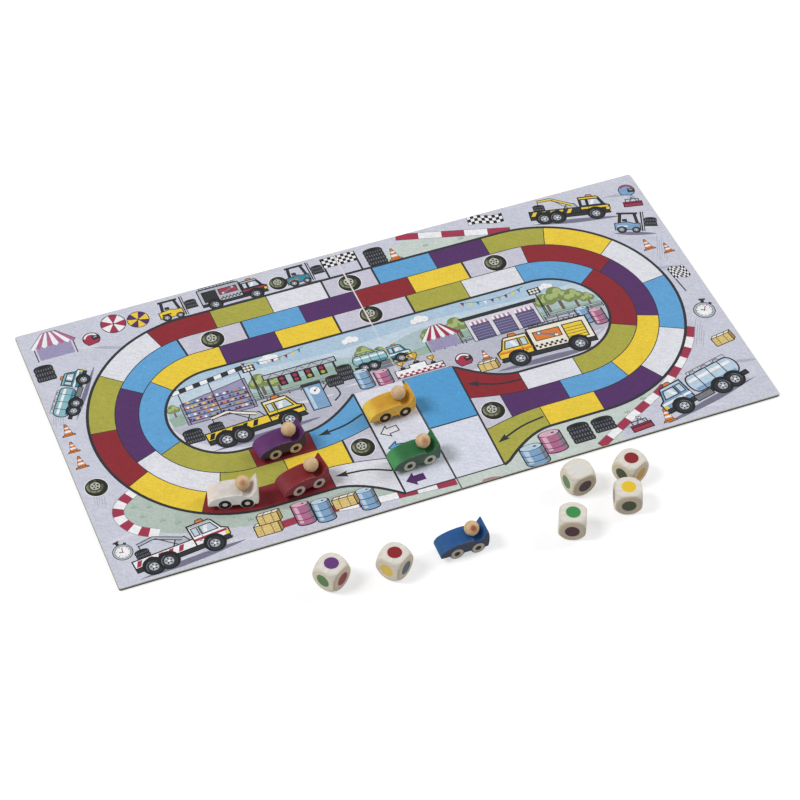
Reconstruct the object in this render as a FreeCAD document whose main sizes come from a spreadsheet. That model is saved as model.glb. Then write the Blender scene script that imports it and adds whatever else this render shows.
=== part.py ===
import FreeCAD, Part
import math
import os

import Sketcher
from FreeCAD import Placement, Rotation, Vector

# A racing board game set out for play: a board in two halves that folds at its middle, six
# one-piece wooden cars, each with a round-headed driver glued into it, and six colour dice.
#
# Row frame, in millimetres: X runs along the board to the right, Y away from the players, Z up.
# The origin is the middle of the left half's fold edge, on the table (z = 0).

DOCUMENT_NAME = "racing_board_game"
OUTPUT_FOLDER = "parts"

CAR_COLOURS = ("yellow", "green", "white", "red", "purple", "blue")
CARS_ON_TABLE = ("blue",)
DICE_COUNT = 6

# Driving dimensions: name, value in millimetres, degrees or a share, what it is.
SIZES = (
    ("board_length", 432.0, "both halves, left to right, laid open"),
    ("board_width", 220.0, "near edge to far edge"),
    ("core_thickness", 1.4, "grey board panel inside each half"),
    ("print_thickness", 0.2, "printed paper on the top, the edges and the turned-in rim"),
    ("lining_thickness", 0.2, "paper glued over the turned-in rim underneath"),
    ("corner_radius", 1.5, "four outer corners of the board"),
    ("fold_slit", 0.4, "slot between the halves, under the creased print"),
    ("crease_width", 1.2, "strip of print that bends when the board folds"),
    ("turn_in_width", 12.0, "print folded under each outer edge"),
    ("lining_margin", 3.0, "rim of turned-in print left bare round the lining"),
    ("car_width", 13.0, "plank that the cars are sawn from"),
    ("wheel_base", 13.4, "between the centres of the two wheel rounds"),
    ("wheel_radius", 4.6, "wheel rounds in the bottom outline"),
    ("belly_height", 3.4, "underside between the wheel rounds and at both ends"),
    ("nose_reach", 16.9, "front face, ahead of the middle of the wheel base"),
    ("nose_height", 5.2, "top of the upright front face"),
    ("nose_radius", 7.0, "curve from the front face to the bonnet"),
    ("bonnet_reach", 13.0, "front end of the bonnet, ahead of the middle"),
    ("bonnet_height", 9.9, "front end of the bonnet"),
    ("bonnet_radius", 34.0, "long curve of the bonnet"),
    ("cowl_reach", 1.0, "rear end of the bonnet, behind the middle"),
    ("cowl_height", 12.4, "rear end of the bonnet"),
    ("seat_reach", 6.7, "lowest point of the cockpit, behind the middle"),
    ("seat_height", 10.2, "lowest point of the cockpit"),
    ("seat_radius", 3.0, "round bottom of the cockpit"),
    ("fin_reach", 12.5, "sharp tip of the tail fin before it is rounded, behind the middle"),
    ("fin_height", 17.4, "sharp tip of the tail fin before it is rounded"),
    ("fin_tip_radius", 0.6, "rounding of the fin's tip"),
    ("tail_reach", 13.2, "bottom of the tail, behind the middle"),
    ("tail_radius", 27.0, "bulge of the tail's back"),
    ("corner_rounding", 0.8, "every other corner of the side outline"),
    ("side_bevel", 0.35, "edges along both sides of a car, taken off with sandpaper"),
    ("head_reach", 4.5, "driver, behind the middle of the wheel base"),
    ("head_height", 16.1, "centre of the driver's head"),
    ("head_radius", 4.55, "driver's round head"),
    ("shank_radius", 2.0, "round shank below the head"),
    ("shank_height", 5.6, "bottom end of the shank"),
    ("hole_depth_gap", 0.4, "room under the shank in its drilled hole"),
    ("glue_gap", 0.05, "glue round the shank in its drilled hole"),
    ("standing_gap", 0.02, "paint film between a wheel round and the board"),
    ("die_size", 16.5, "across the flats of a die"),
    ("die_ball_radius", 11.4, "ball that the corners of a die are turned to"),
    ("yellow_car_along", -0.0384, "middle of the wheel base, from the fold, as a share of the length"),
    ("yellow_car_across", -0.1673, "middle of the car, from the board's middle, as a share of the width"),
    ("yellow_car_turn", 1.5, "degrees to the left of driving along -X"),
    ("green_car_along", -0.0403, "share of the length"),
    ("green_car_across", -0.36, "share of the width"),
    ("green_car_turn", 1.5, "degrees"),
    ("white_car_along", -0.3012, "share of the length"),
    ("white_car_across", -0.3195, "share of the width"),
    ("white_car_turn", -16.0, "degrees"),
    ("red_car_along", -0.2021, "share of the length"),
    ("red_car_across", -0.3327, "share of the width"),
    ("red_car_turn", 6.6, "degrees"),
    ("purple_car_along", -0.2086, "share of the length"),
    ("purple_car_across", -0.1868, "share of the width"),
    ("purple_car_turn", 2.7, "degrees"),
    ("blue_car_x", -16.2, "from the fold"),
    ("blue_car_gap", 41.8, "in front of the board's near edge, on the table"),
    ("blue_car_turn", -0.8, "degrees"),
    ("die_1_x", -98.0, "from the fold"),
    ("die_1_gap", 37.2, "in front of the board's near edge, on the table"),
    ("die_1_turn", 31.4, "degrees"),
    ("die_2_x", -60.8, "from the fold"),
    ("die_2_gap", 43.0, "in front of the near edge"),
    ("die_2_turn", 33.9, "degrees"),
    ("die_3_x", 66.7, "from the fold"),
    ("die_3_gap", 22.0, "in front of the near edge"),
    ("die_3_turn", 6.8, "degrees"),
    ("die_4_x", 99.6, "from the fold"),
    ("die_4_gap", 26.0, "in front of the near edge"),
    ("die_4_turn", 25.7, "degrees"),
    ("die_5_x", 88.3, "from the fold"),
    ("die_5_gap", 46.3, "in front of the near edge"),
    ("die_5_turn", -19.5, "degrees"),
    ("die_6_x", 49.1, "from the fold"),
    ("die_6_gap", 52.5, "in front of the near edge"),
    ("die_6_turn", -25.2, "degrees"),
)

# Sizes that follow from the driving dimensions, as expressions.
HALF_LENGTH = "(sizes.board_length - sizes.fold_slit) / 2"
HALF_WIDTH = "sizes.board_width / 2"
CORE_BOTTOM = "sizes.lining_thickness + sizes.print_thickness"
CORE_TOP = CORE_BOTTOM + " + sizes.core_thickness"
BOARD_TOP = CORE_TOP + " + sizes.print_thickness"
CREASE_OVERLAP = "(sizes.crease_width - sizes.fold_slit) / 2"
HALF_WHEEL_BASE = "sizes.wheel_base / 2"

SMALLEST_CORNER = math.radians(5)
SEAT_SWEEP = math.radians(60)
TOUCHING = 0.01
ORIGIN_GEOMETRY = -1
VERTICAL_AXIS = -2
LINE_START, LINE_END, ARC_CENTRE = range(1, 4)
ON_ORIGIN = (ORIGIN_GEOMETRY, LINE_START)

doc = FreeCAD.newDocument(DOCUMENT_NAME)
sheet = doc.addObject("Spreadsheet::Sheet", "sizes")
finished = []


def fill_sheet():
    """Write each driving dimension with its name and its meaning into the sheet."""
    for row, (name, value, meaning) in enumerate(SIZES, start=1):
        sheet.set(f"A{row}", name)
        sheet.set(f"B{row}", str(value))
        sheet.setAlias(f"B{row}", name)
        sheet.set(f"C{row}", meaning)
    doc.recompute()


def value_of(expression):
    """Number that an expression on the sheet comes to."""
    result = sheet.evalExpression(expression)
    return float(getattr(result, "Value", result))


def new_body(label):
    """Empty body whose label names the piece."""
    body = doc.addObject("PartDesign::Body", label)
    body.Label = label
    return body


def new_sketch(body, name, plane, across="0", along="0", lift="0"):
    """Sketch on one of the body's own base planes, shifted by three expressions."""
    sketch = body.newObject("Sketcher::SketchObject", f"{body.Label}_{name}")
    base = next(o for o in body.Origin.OriginFeatures if o.Role == plane)
    sketch.AttachmentSupport = [(base, "")]
    sketch.MapMode = "FlatFace"
    sketch.setExpression("AttachmentOffset.Base.x", across)
    sketch.setExpression("AttachmentOffset.Base.y", along)
    sketch.setExpression("AttachmentOffset.Base.z", lift)
    return sketch


def bind(sketch, kind, name, expression, *places):
    """Add one sketch dimension that follows an expression on the sheet."""
    index = sketch.addConstraint(Sketcher.Constraint(kind, *places, value_of(expression)))
    sketch.renameConstraint(index, name)
    sketch.setExpression(f"Constraints.{name}", expression)


def place(sketch, name, point, x_expression, y_expression):
    """Dimension one point of a sketch from the sketch's origin."""
    bind(sketch, "DistanceX", f"{name}_x", x_expression, *ON_ORIGIN, *point)
    bind(sketch, "DistanceY", f"{name}_y", y_expression, *ON_ORIGIN, *point)


def join(sketch, kind, first, second):
    """Tie two ends of a sketch together, coincident or tangent."""
    sketch.addConstraint(Sketcher.Constraint(kind, *first, *second))


def add_line(sketch, start, end):
    """Add a straight edge between two (x, y) points and give its number."""
    return sketch.addGeometry(Part.LineSegment(Vector(*start, 0), Vector(*end, 0)), False)


def add_arc(sketch, start, end, radius, clockwise=False):
    """Add an arc of under half a turn from start to end; give its number and its two ends.

    The centre lies on the inner side of the way round. Arcs are kept counter-clockwise, so one
    drawn clockwise has its end point first.
    """
    a, b = Vector(*start, 0), Vector(*end, 0)
    half_chord = (b - a).Length / 2
    along = (b - a).normalize()
    inward = Vector(along.y, -along.x, 0) if clockwise else Vector(-along.y, along.x, 0)
    centre = (a + b) * 0.5 + inward * max(radius * radius - half_chord * half_chord, 0) ** 0.5
    first, last = (b, a) if clockwise else (a, b)
    from_angle, to_angle = (math.atan2(p.y - centre.y, p.x - centre.x) for p in (first, last))
    if to_angle < from_angle:
        to_angle += 2 * math.pi
    circle = Part.Circle(centre, Vector(0, 0, 1), radius)
    number = sketch.addGeometry(Part.ArcOfCircle(circle, from_angle, to_angle), False)
    return number, (LINE_END, LINE_START) if clockwise else (LINE_START, LINE_END)


def add_pad(body, sketch, name, length, midplane=False):
    """Thicken a sketch away from its plane, or to both sides of it."""
    pad = body.newObject("PartDesign::Pad", f"{body.Label}_{name}")
    pad.Profile = sketch
    pad.SideType = "Symmetric" if midplane else "One side"
    pad.setExpression("Length", length)
    return pad


def add_pocket(body, sketch, name, length, through=False):
    """Cut a sketch upwards out of the body, and check that it did cut."""
    doc.recompute()
    before = body.Shape.Volume
    pocket = body.newObject("PartDesign::Pocket", f"{body.Label}_{name}")
    pocket.Profile = sketch
    pocket.Reversed = True
    pocket.Type = "ThroughAll" if through else "Length"
    pocket.setExpression("Length", length)
    doc.recompute()
    if body.Shape.Volume >= before:
        raise RuntimeError(f"{pocket.Name} cuts nothing")
    return pocket


def dress_edges(body, base, kind, name, size, chosen):
    """Round or bevel the edges of the last feature for which chosen(edge) is true."""
    doc.recompute()
    edges = [f"Edge{i}" for i, edge in enumerate(base.Shape.Edges, start=1) if chosen(edge)]
    dressed = body.newObject(f"PartDesign::{kind}", f"{body.Label}_{name}")
    dressed.Base = (base, edges)
    dressed.setExpression("Radius" if kind == "Fillet" else "Size", size)
    return dressed


def finish(body, x="0", y="0", z="0", turn="0"):
    """Put a piece in its place in the row frame."""
    body.Placement = Placement(Vector(0, 0, 0), Rotation(Vector(0, 0, 1), 1))
    body.setExpression("Placement.Base.x", x)
    body.setExpression("Placement.Base.y", y)
    body.setExpression("Placement.Base.z", z)
    body.setExpression("Placement.Rotation.Angle", turn)
    finished.append(body)


def draw_half_outline(sketch, inset, radius="0"):
    """Outline of one half, drawn in by inset at its three outer edges.

    The fold edge lies on the sketch's Y axis and the half reaches to -X. The two outer corners
    are rounded to radius, or left square where it is 0.
    """
    reach = value_of(f"{HALF_LENGTH} - ({inset})")
    half = value_of(f"{HALF_WIDTH} - ({inset})")
    r = value_of(radius)
    fold = add_line(sketch, (0, -half), (0, half))
    far = add_line(sketch, (0, half), (r - reach, half))
    outer = add_line(sketch, (-reach, half - r), (-reach, r - half))
    near = add_line(sketch, (r - reach, -half), (0, -half))
    join(sketch, "Coincident", (fold, LINE_END), (far, LINE_START))
    join(sketch, "Coincident", (near, LINE_END), (fold, LINE_START))
    sketch.addConstraint(Sketcher.Constraint("Horizontal", far))
    sketch.addConstraint(Sketcher.Constraint("Vertical", outer))
    sketch.addConstraint(Sketcher.Constraint("Horizontal", near))
    if r > 0:
        corners = []
        for start, end, before, after in (
            ((r - reach, half), (-reach, half - r), far, outer),
            ((-reach, r - half), (r - reach, -half), outer, near),
        ):
            corner, ends = add_arc(sketch, start, end, r)
            join(sketch, "Tangent", (before, LINE_END), (corner, ends[0]))
            join(sketch, "Tangent", (corner, ends[1]), (after, LINE_START))
            corners.append(corner)
        sketch.addConstraint(Sketcher.Constraint("Equal", *corners))
        bind(sketch, "Radius", "corner", radius, corners[0])
    else:
        join(sketch, "Coincident", (far, LINE_END), (outer, LINE_START))
        join(sketch, "Coincident", (outer, LINE_END), (near, LINE_START))
    sketch.addConstraint(Sketcher.Constraint("PointOnObject", fold, LINE_START, VERTICAL_AXIS))
    sketch.addConstraint(Sketcher.Constraint("Symmetric", fold, LINE_START, fold, LINE_END, *ON_ORIGIN))
    bind(sketch, "DistanceY", "width", f"2 * ({HALF_WIDTH} - ({inset}))", fold, LINE_START, fold, LINE_END)
    bind(sketch, "DistanceX", "reach", f"{HALF_LENGTH} - ({inset})", outer, LINE_START, *ON_ORIGIN)


def finish_half(body, side):
    """Leave a left piece where it is drawn, or turn a right one end for end across the slit."""
    if side == "right":
        finish(body, x="sizes.fold_slit", turn="180")
    else:
        finish(body)


def make_board_core(side):
    """Grey board panel, inside the print on three edges and bare at the fold."""
    body = new_body(f"{side}_board_core")
    sketch = new_sketch(body, "outline", "XY_Plane", lift=CORE_BOTTOM)
    draw_half_outline(sketch, "sizes.print_thickness", "sizes.corner_radius - sizes.print_thickness")
    add_pad(body, sketch, "panel", "sizes.core_thickness")
    finish_half(body, side)


def make_print_sheet(side):
    """Printed paper over one half, up to the crease, down the outer edges and turned in below."""
    body = new_body(f"{side}_print_sheet")
    outside = new_sketch(body, "outside", "XY_Plane", lift="sizes.lining_thickness")
    draw_half_outline(outside, "0", "sizes.corner_radius")
    add_pad(body, outside, "wrap", f"{BOARD_TOP} - sizes.lining_thickness")
    room = new_sketch(body, "room", "XY_Plane", lift=CORE_BOTTOM)
    draw_half_outline(room, "sizes.print_thickness", "sizes.corner_radius - sizes.print_thickness")
    add_pocket(body, room, "room_for_core", "sizes.core_thickness")
    window = new_sketch(body, "window", "XY_Plane", lift="sizes.lining_thickness")
    draw_half_outline(window, "sizes.turn_in_width")
    add_pocket(body, window, "turned_in_rim", "sizes.print_thickness")
    strip = new_sketch(body, "crease_room", "XY_Plane", lift=CORE_TOP)
    draw_fold_strip(strip, CREASE_OVERLAP)
    add_pocket(body, strip, "room_for_crease", "sizes.print_thickness")
    finish_half(body, side)


def draw_fold_strip(sketch, width):
    """Rectangle over the whole width of the board, from the fold edge to -X."""
    half = value_of(HALF_WIDTH)
    reach = value_of(width)
    corners = ((0, -half), (0, half), (-reach, half), (-reach, -half))
    edges = [add_line(sketch, corners[i], corners[(i + 1) % 4]) for i in range(4)]
    for i in range(4):
        join(sketch, "Coincident", (edges[i], LINE_END), (edges[(i + 1) % 4], LINE_START))
    sketch.addConstraint(Sketcher.Constraint("Horizontal", edges[1]))
    sketch.addConstraint(Sketcher.Constraint("Vertical", edges[2]))
    sketch.addConstraint(Sketcher.Constraint("Horizontal", edges[3]))
    fold = edges[0]
    sketch.addConstraint(Sketcher.Constraint("PointOnObject", fold, LINE_START, VERTICAL_AXIS))
    sketch.addConstraint(Sketcher.Constraint("Symmetric", fold, LINE_START, fold, LINE_END, *ON_ORIGIN))
    bind(sketch, "DistanceY", "width", "sizes.board_width", fold, LINE_START, fold, LINE_END)
    bind(sketch, "DistanceX", "reach", width, edges[1], LINE_END, edges[1], LINE_START)


def make_back_lining(side):
    """Lining paper: flat below, and thicker inside the turned-in rim, against the core."""
    body = new_body(f"{side}_back_lining")
    sheet_sketch = new_sketch(body, "sheet", "XY_Plane")
    draw_half_outline(sheet_sketch, "sizes.lining_margin")
    add_pad(body, sheet_sketch, "paper", "sizes.lining_thickness")
    inner = new_sketch(body, "inner", "XY_Plane", lift="sizes.lining_thickness")
    draw_half_outline(inner, "sizes.turn_in_width")
    add_pad(body, inner, "pressed_in", "sizes.print_thickness")
    finish_half(body, side)


def make_fold_crease():
    """Strip of print across the slit, which bends when the right half folds over."""
    body = new_body("fold_crease")
    sketch = new_sketch(body, "strip", "XY_Plane", across=f"sizes.fold_slit + {CREASE_OVERLAP}",
                        lift=CORE_TOP)
    draw_fold_strip(sketch, "sizes.crease_width")
    add_pad(body, sketch, "paper", "sizes.print_thickness")
    finish(body)


def draw_car_outline(sketch):
    """Side outline of a car, nose to -X, closed from straight edges and arcs.

    It runs from the foot of the nose over the bonnet, down into the cockpit, up the fin, down
    the tail, and back along the belly round both wheel rounds.
    """
    size = {name: value for name, value, _ in SIZES}
    half_base = size["wheel_base"] / 2
    belly = size["belly_height"]
    radius = size["wheel_radius"]
    chord = (radius ** 2 - (radius - belly) ** 2) ** 0.5
    foot = (-size["nose_reach"], belly)
    lip = (-size["nose_reach"], size["nose_height"])
    brow = (-size["bonnet_reach"], size["bonnet_height"])
    cowl = (size["cowl_reach"], size["cowl_height"])
    seat_side = size["seat_radius"] * math.sin(SEAT_SWEEP)
    seat_rim = size["seat_height"] + size["seat_radius"] * (1 - math.cos(SEAT_SWEEP))
    seat_in = (size["seat_reach"] - seat_side, seat_rim)
    seat_out = (size["seat_reach"] + seat_side, seat_rim)
    tip = (size["fin_reach"], size["fin_height"])
    heel = (size["tail_reach"], belly)

    front = add_line(sketch, foot, lip)
    nose, nose_ends = add_arc(sketch, lip, brow, size["nose_radius"], clockwise=True)
    bonnet, bonnet_ends = add_arc(sketch, brow, cowl, size["bonnet_radius"], clockwise=True)
    dash = add_line(sketch, cowl, seat_in)
    seat, seat_ends = add_arc(sketch, seat_in, seat_out, size["seat_radius"])
    rest = add_line(sketch, seat_out, tip)
    tail, tail_ends = add_arc(sketch, tip, heel, size["tail_radius"], clockwise=True)
    wheels = []
    bellies = []
    start = heel
    for middle in (half_base, -half_base):
        near_end, far_end = (middle + chord, belly), (middle - chord, belly)
        bellies.append(add_line(sketch, start, near_end))
        wheels.append(add_arc(sketch, near_end, far_end, radius, clockwise=True))
        start = far_end
    bellies.append(add_line(sketch, start, foot))

    join(sketch, "Coincident", (front, LINE_END), (nose, nose_ends[0]))
    join(sketch, "Coincident", (nose, nose_ends[1]), (bonnet, bonnet_ends[0]))
    join(sketch, "Coincident", (bonnet, bonnet_ends[1]), (dash, LINE_START))
    join(sketch, "Tangent", (dash, LINE_END), (seat, seat_ends[0]))
    join(sketch, "Tangent", (seat, seat_ends[1]), (rest, LINE_START))
    join(sketch, "Coincident", (rest, LINE_END), (tail, tail_ends[0]))
    join(sketch, "Coincident", (tail, tail_ends[1]), (bellies[0], LINE_START))
    for i, (wheel, ends) in enumerate(wheels):
        join(sketch, "Coincident", (bellies[i], LINE_END), (wheel, ends[0]))
        join(sketch, "Coincident", (wheel, ends[1]), (bellies[i + 1], LINE_START))
    join(sketch, "Coincident", (bellies[2], LINE_END), (front, LINE_START))
    sketch.addConstraint(Sketcher.Constraint("Vertical", front))
    for edge in bellies:
        sketch.addConstraint(Sketcher.Constraint("Horizontal", edge))

    place(sketch, "foot", (front, LINE_START), "-sizes.nose_reach", "sizes.belly_height")
    bind(sketch, "DistanceY", "lip", "sizes.nose_height", *ON_ORIGIN, front, LINE_END)
    place(sketch, "brow", (nose, nose_ends[1]), "-sizes.bonnet_reach", "sizes.bonnet_height")
    place(sketch, "cowl", (dash, LINE_START), "sizes.cowl_reach", "sizes.cowl_height")
    place(sketch, "seat", (seat, ARC_CENTRE), "sizes.seat_reach", "sizes.seat_height + sizes.seat_radius")
    place(sketch, "fin_tip", (rest, LINE_END), "sizes.fin_reach", "sizes.fin_height")
    bind(sketch, "DistanceX", "heel", "sizes.tail_reach", *ON_ORIGIN, tail, tail_ends[1])
    bind(sketch, "Radius", "nose_curve", "sizes.nose_radius", nose)
    bind(sketch, "Radius", "bonnet_curve", "sizes.bonnet_radius", bonnet)
    bind(sketch, "Radius", "seat_curve", "sizes.seat_radius", seat)
    bind(sketch, "Radius", "tail_curve", "sizes.tail_radius", tail)
    for (wheel, _), name, x in zip(wheels, ("rear", "front"), (HALF_WHEEL_BASE, f"-{HALF_WHEEL_BASE}")):
        place(sketch, name, (wheel, ARC_CENTRE), x, "sizes.wheel_radius")
        bind(sketch, "Radius", f"{name}_round", "sizes.wheel_radius", wheel)


def runs_across(edge):
    """True for a straight edge that runs across the car, from side to side."""
    ends = edge.Vertexes
    return len(ends) == 2 and abs(ends[0].Y - ends[1].Y) > value_of("sizes.car_width") / 2


def make_car_body(colour, pose):
    """One car, sawn from a plank to its outline, drilled for the driver and sanded."""
    body = new_body(f"{colour}_car_body")
    outline = new_sketch(body, "outline", "XZ_Plane")
    draw_car_outline(outline)
    plank = add_pad(body, outline, "plank", "sizes.car_width", midplane=True)

    def at_fin_tip(edge):
        return runs_across(edge) and edge.BoundBox.ZMax > value_of("sizes.fin_height - sizes.fin_tip_radius")

    def at_sharp_corner(edge):
        faces = [f for f in tip.Shape.Faces if any(e.isSame(edge) for e in f.Edges)]
        middle = edge.valueAt((edge.FirstParameter + edge.LastParameter) / 2)
        normals = [f.normalAt(*f.Surface.parameter(middle)) for f in faces]
        return runs_across(edge) and normals[0].getAngle(normals[1]) > SMALLEST_CORNER

    def along_the_sides(edge):
        box = edge.BoundBox
        level = abs(box.YMin - box.YMax) < TOUCHING
        return level and abs(abs(box.YMin) - value_of("sizes.car_width / 2")) < TOUCHING

    tip = dress_edges(body, plank, "Fillet", "fin_tip", "sizes.fin_tip_radius", at_fin_tip)
    corners = dress_edges(body, tip, "Fillet", "corners", "sizes.corner_rounding", at_sharp_corner)
    dress_edges(body, corners, "Chamfer", "sides", "sizes.side_bevel", along_the_sides)
    hole = new_sketch(body, "hole", "XY_Plane", across="sizes.head_reach",
                      lift="sizes.shank_height - sizes.hole_depth_gap")
    rim = Part.Circle(Vector(0, 0, 0), Vector(0, 0, 1), value_of("sizes.shank_radius"))
    circle = hole.addGeometry(rim, False)
    join(hole, "Coincident", (circle, ARC_CENTRE), ON_ORIGIN)
    bind(hole, "Radius", "bore", "sizes.shank_radius + sizes.glue_gap", circle)
    add_pocket(body, hole, "drilled_hole", "sizes.fin_height", through=True)
    finish(body, **pose)


def make_driver(colour, pose):
    """Driver: a turned peg, a ball on a round shank, revolved about its own upright axis."""
    body = new_body(f"{colour}_car_driver")
    sketch = new_sketch(body, "half_profile", "XZ_Plane", across="sizes.head_reach")
    head, neck = value_of("sizes.head_radius"), value_of("sizes.shank_radius")
    centre, foot = value_of("sizes.head_height"), value_of("sizes.shank_height")
    throat = centre - (head ** 2 - neck ** 2) ** 0.5
    top, bottom = centre + head, foot
    axis = add_line(sketch, (0, top), (0, bottom))
    base = add_line(sketch, (0, bottom), (neck, bottom))
    side = add_line(sketch, (neck, bottom), (neck, throat))
    ball, _ = add_arc(sketch, (neck, throat), (0, top), head)
    join(sketch, "Coincident", (axis, LINE_END), (base, LINE_START))
    join(sketch, "Coincident", (base, LINE_END), (side, LINE_START))
    join(sketch, "Coincident", (side, LINE_END), (ball, LINE_START))
    join(sketch, "Coincident", (ball, LINE_END), (axis, LINE_START))
    sketch.addConstraint(Sketcher.Constraint("PointOnObject", axis, LINE_START, VERTICAL_AXIS))
    sketch.addConstraint(Sketcher.Constraint("Vertical", axis))
    sketch.addConstraint(Sketcher.Constraint("Horizontal", base))
    sketch.addConstraint(Sketcher.Constraint("Vertical", side))
    sketch.addConstraint(Sketcher.Constraint("PointOnObject", ball, ARC_CENTRE, VERTICAL_AXIS))
    bind(sketch, "DistanceX", "shank", "sizes.shank_radius", base, LINE_START, base, LINE_END)
    bind(sketch, "DistanceY", "foot", "sizes.shank_height", *ON_ORIGIN, axis, LINE_END)
    bind(sketch, "DistanceY", "head", "sizes.head_height", *ON_ORIGIN, ball, ARC_CENTRE)
    bind(sketch, "Radius", "ball", "sizes.head_radius", ball)
    turned = body.newObject("PartDesign::Revolution", f"{body.Label}_turned")
    turned.Profile = sketch
    turned.ReferenceAxis = (sketch, ["V_Axis"])
    turned.Angle = 360.0
    finish(body, **pose)


def make_cars():
    """All six cars, each with its driver in the same pose."""
    for colour in CAR_COLOURS:
        on_table = colour in CARS_ON_TABLE
        if on_table:
            pose = {
                "x": f"sizes.{colour}_car_x",
                "y": f"-({HALF_WIDTH}) - sizes.{colour}_car_gap",
                "z": "0",
            }
        else:
            pose = {
                "x": f"sizes.{colour}_car_along * sizes.board_length",
                "y": f"sizes.{colour}_car_across * sizes.board_width",
                "z": f"{BOARD_TOP} + sizes.standing_gap",
            }
        pose["turn"] = f"sizes.{colour}_car_turn"
        make_car_body(colour, pose)
        make_driver(colour, pose)


def make_die(number):
    """One die: a cube whose corners are turned down to a ball, so that its flats are round."""
    body = new_body(f"die_{number}")
    half = value_of("sizes.die_size / 2")
    square = new_sketch(body, "square", "XY_Plane")
    corners = ((-half, -half), (half, -half), (half, half), (-half, half))
    edges = [add_line(square, corners[i], corners[(i + 1) % 4]) for i in range(4)]
    for i in range(4):
        join(square, "Coincident", (edges[i], LINE_END), (edges[(i + 1) % 4], LINE_START))
        square.addConstraint(Sketcher.Constraint(("Horizontal", "Vertical")[i % 2], edges[i]))
    square.addConstraint(Sketcher.Constraint("Equal", edges[0], edges[1]))
    square.addConstraint(
        Sketcher.Constraint("Symmetric", edges[0], LINE_START, edges[2], LINE_START, *ON_ORIGIN))
    bind(square, "DistanceX", "side", "sizes.die_size", edges[0], LINE_START, edges[0], LINE_END)
    add_pad(body, square, "cube", "sizes.die_size")

    waste = new_sketch(body, "waste", "XZ_Plane", along="sizes.die_size / 2")
    ball, outside = value_of("sizes.die_ball_radius"), value_of("2 * sizes.die_size")
    arc, _ = add_arc(waste, (0, -ball), (0, ball), ball)
    points = ((0, ball), (0, outside), (outside, outside), (outside, -outside), (0, -outside), (0, -ball))
    rim = [add_line(waste, points[i], points[i + 1]) for i in range(5)]
    for i in range(4):
        join(waste, "Coincident", (rim[i], LINE_END), (rim[i + 1], LINE_START))
    join(waste, "Coincident", (arc, LINE_END), (rim[0], LINE_START))
    join(waste, "Coincident", (rim[4], LINE_END), (arc, LINE_START))
    join(waste, "Coincident", (arc, ARC_CENTRE), ON_ORIGIN)
    for i, direction in enumerate(("Vertical", "Horizontal", "Vertical", "Horizontal", "Vertical")):
        waste.addConstraint(Sketcher.Constraint(direction, rim[i]))
    waste.addConstraint(Sketcher.Constraint("PointOnObject", rim[0], LINE_START, VERTICAL_AXIS))
    waste.addConstraint(Sketcher.Constraint("PointOnObject", rim[4], LINE_START, VERTICAL_AXIS))
    bind(waste, "Radius", "ball", "sizes.die_ball_radius", arc)
    place(waste, "far_corner", (rim[1], LINE_END), "2 * sizes.die_size", "2 * sizes.die_size")
    bind(waste, "DistanceY", "low_corner", "4 * sizes.die_size", rim[2], LINE_END, rim[2], LINE_START)
    doc.recompute()
    cube_volume = body.Shape.Volume
    turned = body.newObject("PartDesign::Groove", f"{body.Label}_turned_corners")
    turned.Profile = waste
    turned.ReferenceAxis = (waste, ["V_Axis"])
    turned.Angle = 360.0
    doc.recompute()
    if body.Shape.Volume >= cube_volume:
        raise RuntimeError(f"{turned.Name} cuts nothing")
    finish(body, x=f"sizes.die_{number}_x", y=f"-({HALF_WIDTH}) - sizes.die_{number}_gap",
           turn=f"sizes.die_{number}_turn")


def write_parts():
    """Check every object and every piece, then write one STEP file per piece."""
    doc.recompute()
    for thing in doc.Objects:
        if "Invalid" in thing.State or "Error" in thing.State:
            raise RuntimeError(f"{thing.Name} failed: {thing.State}")
    for body in finished:
        if body.Shape.isNull() or not body.Shape.isValid() or len(body.Shape.Solids) != 1:
            raise RuntimeError(f"{body.Label} is not one valid solid")
    os.makedirs(OUTPUT_FOLDER, exist_ok=True)
    for body in finished:
        body.Shape.exportStep(os.path.join(OUTPUT_FOLDER, f"{body.Label}.step"))
        print(f"{body.Label}: {body.Shape.Volume:.1f} mm3")


fill_sheet()
for half_side in ("left", "right"):
    make_board_core(half_side)
    make_print_sheet(half_side)
    make_back_lining(half_side)
make_fold_crease()
make_cars()
for die_number in range(1, DICE_COUNT + 1):
    make_die(die_number)
write_parts()
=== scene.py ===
import math

import bmesh
import bpy
import numpy as np
from mathutils import Matrix, Vector
from mathutils.geometry import delaunay_2d_cdt


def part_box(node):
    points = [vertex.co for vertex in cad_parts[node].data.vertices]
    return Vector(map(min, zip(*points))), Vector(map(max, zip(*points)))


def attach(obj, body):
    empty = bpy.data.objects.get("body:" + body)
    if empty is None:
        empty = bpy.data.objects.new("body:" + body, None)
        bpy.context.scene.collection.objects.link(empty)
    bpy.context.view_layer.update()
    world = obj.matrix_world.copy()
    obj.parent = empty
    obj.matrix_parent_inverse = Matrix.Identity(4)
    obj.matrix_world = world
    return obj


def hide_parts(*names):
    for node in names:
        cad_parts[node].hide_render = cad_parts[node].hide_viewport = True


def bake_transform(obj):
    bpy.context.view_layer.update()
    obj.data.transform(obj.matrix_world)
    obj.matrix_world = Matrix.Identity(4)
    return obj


# A folding board game printed with a race track, six sawn wooden cars and six colour dice.
# Everything is in metres; drawings of the print, the cars and the dice are worked out in
# millimetres and scaled once, when their mesh is made.

MM = 0.001

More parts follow.
